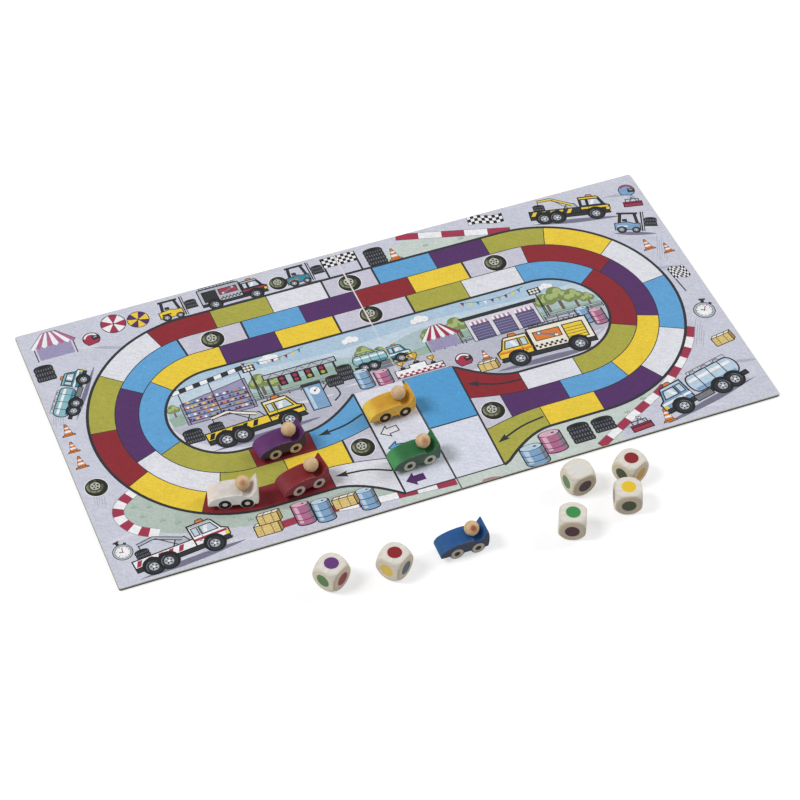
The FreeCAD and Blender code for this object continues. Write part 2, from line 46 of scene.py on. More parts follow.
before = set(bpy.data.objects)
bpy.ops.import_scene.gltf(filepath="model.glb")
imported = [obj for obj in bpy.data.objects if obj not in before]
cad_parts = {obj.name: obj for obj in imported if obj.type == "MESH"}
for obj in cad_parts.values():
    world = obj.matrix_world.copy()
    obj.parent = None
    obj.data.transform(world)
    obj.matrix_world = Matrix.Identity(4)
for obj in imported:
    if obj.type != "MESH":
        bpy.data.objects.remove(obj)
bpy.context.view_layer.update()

# Where the toys stand, as in the CAD: x, y and z of the ground under a car's middle, in
# millimetres, and its turn about the upright in degrees; for a die x, y and its turn.
CAR_POSES = {
    "yellow": (-16.589, -36.806, 2.02, 1.5),
    "green": (-17.410, -79.200, 2.02, 1.5),
    "white": (-130.118, -70.290, 2.02, -16.0),
    "red": (-87.307, -73.194, 2.02, 6.6),
    "purple": (-90.115, -41.096, 2.02, 2.7),
    "blue": (-16.2, -151.8, 0.0, -0.8),
}
DIE_POSES = (
    (-98.0, -147.2, 31.4),
    (-60.8, -153.0, 33.9),
    (66.7, -132.0, 6.8),
    (99.6, -136.0, 25.7),
    (88.3, -156.3, -19.5),
    (49.1, -162.5, -25.2),
)


def rgba(code):
    """Scene-linear colour of a hexadecimal screen colour, by the usual two-part curve, opaque."""
    channels = np.array([int(code[i:i + 2], 16) for i in (0, 2, 4)]) / 255
    linear = np.where(channels <= 0.04045, channels / 12.92, ((channels + 0.055) / 1.055) ** 2.4)
    return (*linear, 1.0)


# Meshes


def new_piece(name, points, faces, smooth=True):
    """Mesh object at the origin from points in millimetres and a list of vertex loops."""
    mesh = bpy.data.meshes.new(name)
    mesh.from_pydata(np.asarray(points, float) * MM, [], [list(f) for f in faces])
    mesh.polygons.foreach_set("use_smooth", np.full(len(mesh.polygons), smooth))
    mesh.update()
    piece = bpy.data.objects.new(name, mesh)
    bpy.context.scene.collection.objects.link(piece)
    return piece


def quads(rows, columns, closed=True):
    """Corner numbers of a grid's quads; the points are stored row by row, and a row may be a ring."""
    r = np.arange(rows - 1)[:, None]
    c = np.arange(columns if closed else columns - 1)[None, :]
    c2 = (c + 1) % columns
    corners = (r * columns + c, r * columns + c2, (r + 1) * columns + c2, (r + 1) * columns + c)
    return np.stack(np.broadcast_arrays(*corners), -1).reshape(-1, 4)


def tube_faces(rows, columns):
    """Faces of a closed solid of rings: its quads, then its first ring and its last, turned round."""
    count = rows * columns
    ends = [list(range(columns)), list(range(count - 1, count - columns - 1, -1))]
    return quads(rows, columns).tolist() + ends


def store(piece, name, kind, values, domain="POINT"):
    """Keep values on a piece's vertices or face corners under a name that the materials read."""
    mesh = piece.data
    if kind == "FLOAT_COLOR":
        layer, field = mesh.color_attributes.new(name, kind, domain), "color"
    else:
        layer = mesh.attributes.new(name, kind, domain)
        field = "vector" if kind == "FLOAT_VECTOR" else "value"
    layer.data.foreach_set(field, np.asarray(values, np.float32).ravel())


def set_down(points, pose):
    """Turn points about the upright axis by the pose's angle and move them to its place."""
    x, y, z, turn = pose
    c, s = math.cos(math.radians(turn)), math.sin(math.radians(turn))
    return points @ np.array([[c, s, 0], [-s, c, 0], [0, 0, 1]]) + np.array([x, y, z])


# Side outline of a car


def circle_points(centre, radius, angles):
    """Points of a circle about a centre, at angles in radians."""
    return np.asarray(centre) + radius * np.stack([np.cos(angles), np.sin(angles)], -1)


def straight(start, end, step=0.6):
    """Evenly spaced points from start to end."""
    start, end = np.array(start, float), np.array(end, float)
    count = max(2, int(np.linalg.norm(end - start) / step) + 1)
    return start + np.linspace(0, 1, count)[:, None] * (end - start)


def arc(start, end, radius, clockwise=True, step=0.25):
    """Points of an arc of under half a turn: the centre is found from the chord and the radius."""
    a, b = np.array(start, float), np.array(end, float)
    half = np.linalg.norm(b - a) / 2
    along = (b - a) / (2 * half)
    side = 1 if clockwise else -1
    inward = np.array([along[1], -along[0]]) * side
    centre = (a + b) / 2 + inward * math.sqrt(max(radius * radius - half * half, 0))
    first = math.atan2(*(a - centre)[::-1])
    sweep = -2 * math.asin(min(1.0, half / radius)) * side
    count = max(4, int(abs(sweep) * radius / step) + 1)
    return circle_points(centre, radius, first + np.linspace(0, 1, count) * sweep)


def left_normals(points, closed=False):
    """Unit normals to the left of a run of points, from the neighbours on both sides."""
    if closed:
        along = np.roll(points, -1, axis=0) - np.roll(points, 1, axis=0)
    else:
        along = np.gradient(points, axis=0)
    along /= np.linalg.norm(along, axis=1)[:, None]
    return np.stack([-along[:, 1], along[:, 0]], -1)


def travelled(points):
    """Way along a run of points from its start to each point."""
    return np.r_[0, np.cumsum(np.linalg.norm(np.diff(points, axis=0), axis=1))]


def dense(points, count=400):
    """The same run of points, sampled evenly along its length."""
    steps = travelled(points)
    at = np.linspace(0, steps[-1], count)
    return np.stack([np.interp(at, steps, points[:, i]) for i in range(2)], -1)


def roll_corner(first, second, radius):
    """Round the corner where first meets second with a rolled circle.

    Both runs are shifted sideways by the radius, to the side on which they face each other. The
    circle's centre is where the shifted runs come nearest, and the arc joins the two touching
    points.
    """
    first, second = dense(first), dense(second)
    turn = np.cross(first[-1] - first[-4], second[3] - second[0])
    side = 1 if turn > 0 else -1
    a = first + side * radius * left_normals(first)
    b = second + side * radius * left_normals(second)
    gap = np.linalg.norm(a[:, None] - b[None], axis=2)
    i, j = np.unravel_index(gap.argmin(), gap.shape)
    centre = (a[i] + b[j]) / 2
    start = math.atan2(*(first[i] - centre)[::-1])
    end = math.atan2(*(second[j] - centre)[::-1])
    sweep = (end - start + math.pi) % (2 * math.pi) - math.pi
    return i, j, circle_points(centre, radius, start + np.linspace(0, 1, 7) * sweep)


def car_outline():
    """Closed side outline of a car, in millimetres, nose to -X, clockwise seen from the front.

    Straight edges and arcs run over the bonnet, down into the cockpit, up the fin, down the
    tail and back along the belly round both wheel rounds; each corner is rolled to a radius.
    """
    nose, tail, belly, wheel, base = -16.9, 13.2, 3.4, 4.6, 6.7
    lip, brow, cowl, fin = (nose, 5.2), (-13.0, 9.9), (1.0, 12.4), (12.5, 17.4)
    seat, seat_foot, seat_radius = 6.7, 10.2, 3.0
    chord = math.sqrt(wheel ** 2 - (wheel - belly) ** 2)
    seat_in, seat_out = [
        (seat + seat_radius * math.sin(a), seat_foot + seat_radius * (1 - math.cos(a)))
        for a in (math.radians(-63), math.radians(58))]
    cockpit = [straight(cowl, seat_in)[:-1], arc(seat_in, seat_out, seat_radius, False)[:-1],
               straight(seat_out, fin)]
    runs = [straight((nose, belly), lip), arc(lip, brow, 7.0), arc(brow, cowl, 34.0), np.vstack(cockpit),
            arc(fin, (tail, belly), 27.0), straight((tail, belly), (base + chord, belly)),
            arc((base + chord, belly), (base - chord, belly), wheel),
            straight((base - chord, belly), (chord - base, belly)),
            arc((chord - base, belly), (-base - chord, belly), wheel),
            straight((-base - chord, belly), (nose, belly))]
    rounding = [0.8, 2.0, 0.8, 0.6] + [0.8] * 6
    corners = [roll_corner(a, b, radius) for a, b, radius in zip(runs, runs[1:] + runs[:1], rounding)]
    outline = []
    for run, before, after in zip(runs, corners[-1:] + corners, corners):
        kept = dense(run)[before[1]:after[0] + 1]
        outline += [dense(kept, max(3, int(travelled(kept)[-1] / 0.45) + 1)), after[2][1:-1]]
    points = np.vstack(outline)
    return points[np.linalg.norm(points - np.roll(points, 1, axis=0), axis=1) > 0.02]


CAR_OUTLINE = car_outline()
CAR_HALF_WIDTH = 6.5
SIDE_ROUNDING = 0.5


def make_car(colour, pose):
    """A car: the outline swept across the plank's width, drawn in by a quarter circle at each side.

    Ring k lies at the width y and is drawn in by the rounding radius less its circle's height
    there; the two side faces close the solid.
    """
    outward = left_normals(CAR_OUTLINE, closed=True)
    quarter = np.linspace(0, math.pi / 2, 5)
    inset = SIDE_ROUNDING * (1 - np.sin(quarter))
    width = CAR_HALF_WIDTH - SIDE_ROUNDING * (1 - np.cos(quarter))
    inner = np.linspace(-1, 1, 7)[1:-1] * (CAR_HALF_WIDTH - 2 * SIDE_ROUNDING)
    bent = np.sin(2 * quarter)
    across, drawn_in, rubbed = (
        np.r_[near, middle, far[::-1]]
        for near, middle, far in (
            (-width, inner, width), (inset, inner * 0, inset), (bent, inner * 0, bent)))
    rings = CAR_OUTLINE[None] - outward[None] * drawn_in[:, None, None]
    upright = np.broadcast_to(across[:, None], rings.shape[:2])
    places = np.stack([rings[..., 0], upright, rings[..., 1]], -1).reshape(-1, 3)
    faces = tube_faces(len(across), len(CAR_OUTLINE))
    car = new_piece(f"{colour}_car", set_down(places, pose), faces, np.arange(len(faces)) < len(faces) - 2)
    store(car, "own_place", "FLOAT_VECTOR", places)
    store(car, "rubbed_edge", "FLOAT", np.repeat(rubbed, len(CAR_OUTLINE)))
    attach(car, f"{colour}_car")
    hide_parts(f"{colour}_car_body")
    return car


def make_driver(colour, pose):
    """A driver: a profile of ball and shank turned about its own upright axis.

    The profile runs from the head's pole down round the ball to the throat, over a small
    hollow fillet, and down the shank to its foot; each point's circle is one row of the grid.
    """
    head, shank, centre, foot, seat, around = 4.55, 2.0, 16.1, 5.6, 4.5, 48
    fall = np.linspace(0, math.pi - math.asin(shank / head), 26)[1:-1]
    ball = np.stack([head * np.sin(fall), centre + head * np.cos(fall)], -1)
    throat = centre - math.sqrt(head ** 2 - shank ** 2)
    profile = np.vstack([ball, [
        (shank + 0.16, throat + 0.12), (shank + 0.03, throat - 0.25),
        (shank, throat - 0.7), (shank, foot + 0.3), (shank - 0.3, foot)]])
    circle = circle_points((0, 0), 1, np.linspace(0, 2 * math.pi, around, endpoint=False))
    heights = np.broadcast_to(profile[:, None, 1:], (len(profile), around, 1))
    rows = np.concatenate([profile[:, None, :1] * circle[None], heights], -1)
    places = np.vstack([rows.reshape(-1, 3), [(0, 0, centre + head), (0, 0, foot)]])
    top, bottom = len(places) - 2, len(places) - 1
    one, two = np.arange(around), (np.arange(around) + 1) % around
    last = (len(profile) - 1) * around
    faces = quads(len(profile), around)[:, ::-1].tolist()
    faces += np.stack([one, two, np.full(around, top)], -1).tolist()
    faces += np.stack([last + two, last + one, np.full(around, bottom)], -1).tolist()
    driver = new_piece(f"{colour}_driver", set_down(places + (seat, 0, 0), pose), faces)
    store(driver, "own_place", "FLOAT_VECTOR", places - (0, 0, centre))
    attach(driver, f"{colour}_car")
    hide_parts(f"{colour}_car_driver")
    return driver


# The six sides of a die as three directions each: across, up and out.
DIE_SIDES = {
    "top": ((1, 0, 0), (0, 1, 0), (0, 0, 1)),
    "bottom": ((0, 1, 0), (1, 0, 0), (0, 0, -1)),
    "left": ((0, -1, 0), (0, 0, 1), (-1, 0, 0)),
    "right": ((0, 1, 0), (0, 0, 1), (1, 0, 0)),
    "near": ((1, 0, 0), (0, 0, 1), (0, -1, 0)),
    "far": ((-1, 0, 0), (0, 0, 1), (0, 1, 0)),
}


def make_die(number, pose, spots):
    """A die: each direction of a cube grid goes out to a blend of the cube and a ball.

    The reach is the p-norm blend of the distance to the flat and the ball's radius, so the
    flats meet the turned corners over a soft edge. Every flat keeps its own plan and its spot's
    colour on its corners; spots are the colours in the order of DIE_SIDES.
    """
    half, ball, blend, count = 8.25, 11.4, 34, 25
    spread = np.tan(np.linspace(-1, 1, count) * math.pi / 4)
    u, v = np.meshgrid(spread, spread, indexing="ij")
    grid = np.stack([u, v, np.ones_like(u)], -1).reshape(-1, 3)
    rays = grid @ np.array(list(DIE_SIDES.values()), float)
    length = np.linalg.norm(rays, axis=-1, keepdims=True)
    reach = ((half * length) ** -blend + ball ** -blend) ** (-1 / blend)
    places = (rays / length * reach).reshape(-1, 3)
    flat = quads(count, count, closed=False)
    faces = (flat + np.arange(len(DIE_SIDES))[:, None, None] * count ** 2).reshape(-1, 4)
    _, first, back = np.unique(places.round(4), axis=0, return_index=True, return_inverse=True)
    places, faces = places[first], back.reshape(-1)[faces]
    x, y, turn = pose
    die = new_piece(f"colour_die_{number}", set_down(places + (0, 0, half), (x, y, 0, turn)), faces)
    plan = np.tile(grid[flat.ravel(), :2] / 2 + 0.5, (len(DIE_SIDES), 1))
    die.data.uv_layers.new(name="flat_plan").data.foreach_set("uv", plan.astype(np.float32).ravel())
    colours = np.repeat([rgba(spot) for spot in spots], flat.size, axis=0)
    store(die, "spot_ink", "FLOAT_COLOR", colours, "CORNER")
    store(die, "own_place", "FLOAT_VECTOR", places)
    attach(die, f"die_{number}")
    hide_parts(f"die_{number}")
    return die


# Drawing the print. Drawings are in millimetres on the open board, from its middle. Each shape is
# an outline and an ink; later shapes are painted over earlier ones.

INKS = {
    "road": "CDCEDC", "road_light": "D9D8E3", "road_shade": "A6A7B8", "road_shade_soft": "B5B5C5",
    "black": "17181C", "charcoal": "2C2E34", "grey": "777A84", "silver": "B4BAC4", "bare": "F2F2F5",
    "red": "8B2731", "green": "ABA84A", "yellow": "EDCD40", "blue": "62A4D6", "purple": "532F65",
    "white": "E2E2EA", "cell_grey": "CBC9D8", "start_white": "DCDFEC", "blue_start": "549ED4",
    "kerb_red": "A23650", "kerb_faded": "AC7C84", "grass": "C9D3CD", "grass_deep": "B5C3BB",
    "grass_worn": "A9B4A7", "grass_dark": "93AE9B", "sky": "C4D4E2", "sky_high": "AFC8DD",
    "hill_far": "AEC3C8", "hill": "98B3A6", "tarmac": "BBBDCB", "wrap": "AEAF98", "tyre": "565A44",
    "tyre_light": "868C6C", "tyre_dark": "24261F", "tyre_rim": "BFC1B4", "shadow": "77768C",
    "straw": "DCC27C", "straw_dark": "A98A4C", "teal": "3F879B", "teal_light": "8CBBC6",
    "pink": "B26B90", "pink_light": "DDB0C4", "steel": "7FA5C9", "steel_light": "BCD2E4",
    "olive": "7C8C54", "leaf": "A9B87A", "bark": "6E5E4C", "orange": "DE7F38", "gold": "D6AC3C",
    "cream": "EFE9DA", "mauve": "9C95B8", "mauve_dark": "5E577E",
}

# Height of the track's middle on the board, and where its left and right bends begin.
CENTRE_Y = 2.46
BEND_X = (-111.68, 109.72)
# Half width at the left and right bend, half height above and below, of the four lane lines.
LANE_LINES = (
    (85.2, 86.2, 85.7, 85.0),
    (68.2, 69.2, 69.0, 68.0),
    (53.6, 55.5, 53.0, 51.8),
    (37.1, 38.0, 36.1, 35.8),
)
# Where the lanes start and end on the bottom straight, and where their lines begin to fan out.
LANE_START, LANE_END = -33.1, 31.6
FAN_LEFT, FAN_RIGHT = (-70.7, -33.1), (33.6, 70.0)
FAN_SHIFTS, FAN_POWER = (-19.4, -5.8, 6.4, 19.6), 1.7
POINTS_PER_STRAIGHT = 34


def along_track(section, value):
    """Place on the track as one number, from -1.5 to 2.5 as a lane runs clockwise.

    The top straight is 0 to 1, the right bend 1 to 2, the bottom straight 2 to 2.5 and, left of
    the start block, -1.5 to -1, and the left bend -1 to 0. A straight's value is x, a bend's is
    its angle in degrees.
    """
    left, right = BEND_X
    place = {
        "top": (value - left) / (right - left),
        "right": 1 + (90 - value) / 180,
        "bottom": 2 + (right - value) / (right - left),
        "left": 3 + (270 - value) / 180,
    }[section]
    return (place + 1.5) % 4 - 1.5


def lane_line(line, place):
    """Points of one lane line: straights joined by half ellipses, fanned out at the start block.

    Near the start block the bottom straight leaves its height by a rising power of the way to
    the block.
    """
    place = np.asarray(place, float) % 4
    left_reach, right_reach, rise, fall = LANE_LINES[line]
    left, right = BEND_X
    part, whole = place % 1, np.floor(place)
    angle = np.radians(np.where(whole == 1, 90 - 180 * part, 270 - 180 * part))
    bent_y = np.where(np.sin(angle) > 0, rise, fall) * np.sin(angle)
    x = np.select(
        [whole == 0, whole == 1, whole == 2],
        [left + part * (right - left), right + right_reach * np.cos(angle), right - part * (right - left)],
        left + left_reach * np.cos(angle))
    y = np.select([whole == 0, whole == 2], [np.full_like(x, rise), np.full_like(x, -fall)], bent_y)
    near = np.where(x < 0, np.interp(x, FAN_LEFT, (0, 1)), np.interp(x, FAN_RIGHT, (1, 0)))
    fan = np.where(whole == 2, near, 0) ** FAN_POWER
    return np.stack([x, y + CENTRE_Y + FAN_SHIFTS[line] * fan], -1)


def across_lane(line, place):
    """The two ends of a line across a lane."""
    return np.vstack([lane_line(line, [place]), lane_line(line + 1, [place])])


def stroke(points, width, ink, closed=False):
    """Quads along a line, as wide as the line: joined at gentle bends, lapped at sharp ones."""
    points = np.asarray(points, float)
    if closed:
        points = np.vstack([points, points[:1]])
    along = np.diff(points, axis=0)
    along /= np.linalg.norm(along, axis=1)[:, None]
    before = np.vstack([along[-1:] if closed else along[:1], along])
    after = np.vstack([along, along[:1] if closed else along[-1:]])
    sharp = ((before * after).sum(axis=1) < 0.8)[:, None]
    shared = np.where(sharp, 1.0, before + after)
    shared /= np.linalg.norm(shared, axis=1)[:, None]
    lap = along * width * 0.45
    start = points[:-1] - np.where(sharp[:-1], lap, 0)
    end = points[1:] + np.where(sharp[1:], lap, 0)
    turned = np.array([[0, 1], [-1, 0]]) * width / 2
    first = np.where(sharp[:-1], along, shared[:-1]) @ turned
    last = np.where(sharp[1:], along, shared[1:]) @ turned
    return [(ring, ink) for ring in np.stack([start + first, start - first, end - last, end + last], 1)]


def disc(x, y, radius, ink, count=20, stretch=1.0):
    """Round shape of count corners; stretch makes it an upright or a flat ellipse."""
    angle = np.linspace(0, 2 * math.pi, count, endpoint=False)
    return np.stack([x + radius * np.cos(angle), y + radius * stretch * np.sin(angle)], -1), ink


def discs(radius, ink, count, spots):
    """Round shapes at several spots, each given as x, y and size in shares of a radius."""
    return [disc(x * radius, y * radius, size * radius, ink, count) for x, y, size in spots]


def block(x, y, width, height, ink):
    """Upright rectangle about its middle."""
    corners = np.array([(-1, -1), (1, -1), (1, 1), (-1, 1)]) / 2
    return corners * (width, height) + (x, y), ink


def polygon(points, ink):
    """Any outline that does not cross itself."""
    return np.array(points, float), ink


def moved(shapes, x, y, turn=0.0, scale=1.0):
    """The same shapes scaled, turned by degrees and then moved."""
    c, s = math.cos(math.radians(turn)) * scale, math.sin(math.radians(turn)) * scale
    matrix = np.array([[c, s], [-s, c]])
    return [(outline @ matrix + (x, y), ink) for outline, ink in shapes]


def mirrored(shapes):
    """The same shapes facing the other way."""
    return [(outline * (-1, 1), ink) for outline, ink in shapes]


def set_out(*things):
    """Several drawings one over another, each given with its x, y, turn and scale."""
    return [shape for drawing, *place in things for shape in moved(drawing, *place)]


def edged(points, ink, width=0.6):
    """Filled outline with a dark line round it."""
    points = np.array(points, float)
    return [(points, ink), *stroke(points, width * 1.3, "black", closed=True)]


def panel(left, low, right, high, ink, width=0.6):
    """Upright rectangle with a dark line round it."""
    return edged([(left, low), (right, low), (right, high), (left, high)], ink, width)


def taper(foot, top, low, high):
    """Corners of a form that is 2 * foot wide at low and 2 * top wide at high."""
    return np.array([(-foot, low), (foot, low), (top, high), (-top, high)])


def posts(places, low, high, width, ink="charcoal"):
    """Upright strokes from low to high at several places."""
    return [bar for x in places for bar in stroke([(x, low), (x, high)], width, ink)]


def curve(points, count=16):
    """Smooth line through a few points: a cubic through each four neighbours in turn."""
    points = np.array(points, float)
    padded = np.vstack([2 * points[0] - points[1], points, 2 * points[-1] - points[-2]])
    t = np.linspace(0, 1, count, endpoint=False)[:, None]
    runs = [0.5 * (2 * b + (c - a) * t + (2 * a - 5 * b + 4 * c - d) * t ** 2
                   + (3 * b - a - 3 * c + d) * t ** 3)
            for a, b, c, d in zip(padded, padded[1:], padded[2:], padded[3:])]
    return np.vstack([*runs, points[-1:]])


def streak(length, rise, fall, ink):
    """Long soft patch, pointed at both ends."""
    half = length / 2
    return [polygon(curve([(-half, 0), (0, rise), (half, 0), (0, -fall), (-half, 0)], 5), ink)]


def tyre_face(x, y, radius):
    """Tyre lying a little tilted: dark tread, olive side wall with glints, rim with five holes."""
    shapes = [disc(0, 0, 1.06, "bare", 26), disc(0, 0, 1.0, "black", 26)]
    shapes += [disc(-0.06, 0.08, 0.88, "tyre_dark", 22), disc(-0.10, 0.12, 0.74, "tyre", 22)]
    for start, end, reach, ink in ((150, 215, 0.74, "tyre_light"), (225, 262, 0.68, "tyre_light"),
                                   (272, 300, 0.70, "tyre_light"), (12, 66, 0.72, "black"),
                                   (84, 126, 0.72, "tyre_dark")):
        around = circle_points((0, 0), 1, np.radians(np.linspace(start, end, 7)))
        shapes.append((np.vstack([around * reach, around[::-1] * (reach - 0.16)]) + (-0.10, 0.12), ink))
    for tread in circle_points((0, 0), 1, np.radians(np.arange(-62, 36, 14))):
        shapes += stroke([0.90 * tread, tread], 0.05, "tyre")
    shapes += [disc(-0.05, 0.17, 0.50, "black", 18), disc(-0.05, 0.18, 0.44, "tyre_rim", 18)]
    for hole in circle_points((-0.05, 0.18), 0.25, np.radians(np.arange(5) * 72 + 90)):
        shapes.append(disc(*hole, 0.10, "black", 8))
    return moved(shapes + [disc(-0.05, 0.18, 0.08, "black", 6)], x, y, 0, radius)


# Spaces of the three lanes: for each section in turn, the ink of a space and where it begins. A
# lane runs clockwise from the start block over the left bend, the top and the right bend.
LANES = (
    (("bottom", (("white", LANE_START), ("red", -70.4))),
     ("left", (("yellow", 241.5), ("red", 207.5), ("green", 173.2), ("white", 139.2), ("red", 107.0))),
     ("top", (("green", -93.2), ("white", -54.8), ("cell_grey", -16.6), ("blue", 18.4), ("purple", 59.0),
              ("green", 96.2))),
     ("right", (("yellow", 69.8), ("white", 38.2), ("blue", 7.0), ("white", -27.5), ("purple", -59.0))),
     ("bottom", (("yellow", 108.0), ("green", 71.0)))),
    (("bottom", (("cell_grey", LANE_START), ("yellow", -53.4), ("green", -92.5))),
     ("left", (("white", 248.0), ("purple", 199.0), ("blue", 143.8), ("cell_grey", 97.5))),
     ("top", (("blue", -77.6), ("purple", -38.2), ("red", 0.6), ("yellow", 37.2), ("cell_grey", 75.8))),
     ("right", (("red", 83.0), ("purple", 32.0), ("yellow", -18.8), ("blue", -69.3))),
     ("bottom", (("purple", 91.8), ("cell_grey", 52.0)))),
    (("bottom", (("blue", LANE_START), ("red", -70.4), ("green", -109.2))),
     ("left", (("blue", 204.4), ("yellow", 132.2))),
     ("top", (("purple", -97.8), ("yellow", -60.4), ("cell_grey", -20.6), ("green", 29.8), ("white", 68.4),
              ("blue", 107.0))),
     ("right", (("red", 37.0), ("green", -29.2))),
     ("bottom", (("white", 107.8), ("red", 70.4)))),
)


def draw_lanes():
    """Spaces of the three lanes, each between two lane lines, and the lines that divide them."""
    shapes = []
    for line, lane in enumerate(LANES):
        spaces = [(ink, along_track(section, value)) for section, cells in lane for ink, value in cells]
        ends = [place for _, place in spaces[1:]]
        for (ink, start), end in zip(spaces, [*ends, along_track("bottom", LANE_END)]):
            place = np.linspace(start, end, max(2, int((end - start) * POINTS_PER_STRAIGHT) + 2))
            shapes.append((np.vstack([lane_line(line, place), lane_line(line + 1, place)[::-1]]), ink))
        for place in ends:
            shapes += stroke(across_lane(line, place), 0.55, "charcoal")
    return shapes


# Things drawn round and inside the track, plain objects of a race day of this file's own design.
# Each is drawn about its own origin and put in its place by moved() or set_out().


def kerb(points, width, length):
    """Blocks of alternating ink along a smooth line, with a thin line on both sides."""
    line = curve(points)
    count = max(2, int(travelled(line)[-1] / length))
    line = dense(line, count * 2 + 1)
    out = left_normals(line) * width / 2
    left, right = line + out, line - out
    shapes = [(np.vstack([left[i:i + 3], right[i:i + 3][::-1]]), ("kerb_red", "bare")[i // 2 % 2])
              for i in range(0, 2 * count, 2)]
    return shapes + stroke(left, 0.3, "grey") + stroke(right, 0.3, "grey")


def drum(width, height, ink):
    """Steel drum: body with two pressed hoops, a shine and a round lid in the ink's light form."""
    w, h, flat, light = width / 2, height / 2, 0.34, f"{ink}_light"
    turn = np.linspace(math.pi, 2 * math.pi, 9)

    def half_round(y):
        """Front half of the drum's round at a height."""
        return np.stack([w * np.cos(turn), y + w * flat * np.sin(turn)], -1)

    shapes = edged(np.vstack([[(-w, h)], half_round(-h), [(w, h)]]), ink)
    for left, right, shine in ((-0.75, -0.35, light), (0.62, 0.9, "grey")):
        shapes.append(polygon([(left * w, h), (left * w, -h), (right * w, -h), (right * w, h)], shine))
    shapes += stroke(half_round(-0.45 * h), 0.5, "charcoal") + stroke(half_round(0.25 * h), 0.5, "charcoal")
    shapes += [disc(0, h, w * 1.04, "charcoal", 20, flat), disc(0, h, w * 0.9, light, 20, flat)]
    return shapes + [disc(w * 0.35, h, w * 0.16, "charcoal", 8, 0.5)]


def tyre_roll(width, height, count):
    """Tyres lying on each other: bulged bands with tread marks and an open top."""
    w, step, top = width / 2, height / count, height / 2
    band = np.array([(-1, -0.3), (-0.9, -0.55), (0.9, -0.55), (1, -0.3), (1, 0.3), (0.9, 0.5), (-0.9, 0.5),
                     (-1, 0.3)]) * (w, step)
    shapes = []
    for i in range(count):
        y = (i + 0.5) * step - top
        shapes += edged(band + (0, y), "charcoal", 0.4)
        shapes += [block(x * w, y, w * 0.08, step * 0.55, "grey") for x in np.linspace(-0.8, 0.8, 7)]
    shapes += [disc(0, top, w * 0.96, "black", 20, 0.3), disc(0, top, w * 0.86, "charcoal", 20, 0.3)]
    return shapes + [disc(0, top, w * 0.5, "black", 16, 0.3)]


def cone(height):
    """Traffic cone with two pale bands on a square foot."""
    shapes = edged(taper(0.42, 0.36, 0, 0.12) * height, "orange", 0.35)
    shapes += edged(taper(0.26, 0.05, 0.12, 1) * height, "orange", 0.35)
    for low, high in ((0.3, 0.46), (0.62, 0.74)):
        a, b = 0.26 - 0.21 * (low - 0.12) / 0.88, 0.26 - 0.21 * (high - 0.12) / 0.88
        shapes.append(polygon(taper(a, b, low, high) * height, "bare"))
    return shapes


def helmet(radius, ink, stripe):
    """Racing helmet on its own: round shell, dark visor and one stripe over the crown."""
    angle = np.linspace(math.radians(-38), math.radians(214), 18)
    shell = np.vstack([circle_points((0, 0), 1, angle), [(-0.7, -0.85), (0.5, -0.85)]])
    shapes = edged(shell * radius, ink, 0.45)
    shapes += stroke(circle_points((0, 0), 0.8 * radius, angle[4:14]), radius * 0.22, stripe)
    visor = np.array([(0.12, 0.3), (0.95, 0.28), (0.97, -0.22), (0.2, -0.3)]) * radius
    glint = np.array([(0.3, 0.18), (0.75, 0.18), (0.7, 0.05), (0.34, 0.05)]) * radius
    return shapes + edged(visor, "charcoal", 0.35) + [polygon(glint, "silver")]


def chequered(width, height, columns, rows, wave=0.12):
    """Chequered cloth that hangs in a wave, each check a small quad."""
    i, j = np.meshgrid(np.arange(columns + 1), np.arange(rows + 1), indexing="ij")
    sway = wave * height * np.sin(2 * math.pi * i / columns)
    spots = np.stack([width * i / columns, height * j / rows + sway], -1)
    shapes = [polygon([spots[i, j], spots[i + 1, j], spots[i + 1, j + 1], spots[i, j + 1]],
                      "black" if (i + j) % 2 else "bare")
              for i in range(columns) for j in range(rows)]
    return shapes + stroke(np.vstack([spots[:, 0], spots[::-1, -1]]), 0.3, "black", closed=True)


def flag_on_pole(width, height):
    """Chequered flag at the top of a pole."""
    return posts([0], -height * 1.1, height, 0.9) + chequered(width, height, 8, 6)


def parasol(radius, ink, other="bare"):
    """Sunshade seen from above: eight wedges of two inks."""
    shapes = [disc(0, 0, radius * 1.05, "charcoal", 24)]
    rim = circle_points((0, 0), radius, np.radians(np.arange(0, 361, 22.5)))
    rim[1::2] *= 0.97
    for i in range(8):
        shapes.append(polygon([(0, 0), *rim[2 * i:2 * i + 3]], ink if i % 2 else other))
    return shapes + [disc(0, 0, radius * 0.1, "charcoal", 8)]


def tent(width, height, ink):
    """Open-sided tent: striped roof with a scalloped hem over two poles."""
    w, h = width / 2, height
    hem, ridge = h * 0.52, h
    shapes = posts([-w * 0.85, w * 0.85], 0, h * 0.6, 0.7) + [block(0, h * 0.28, w * 1.5, h * 0.5, "mauve")]
    for i in range(8):
        a, b = -w + w * i / 4, -w + w * (i + 1) / 4
        stripe = [(a, hem), ((a + b) / 2, h * 0.44), (b, hem), (b * 0.3, ridge), (a * 0.3, ridge)]
        shapes.append(polygon(stripe, ink if i % 2 else "bare"))
    return shapes + stroke([(-w, hem), (-w * 0.3, ridge), (w * 0.3, ridge), (w, hem)], 0.4, "charcoal")


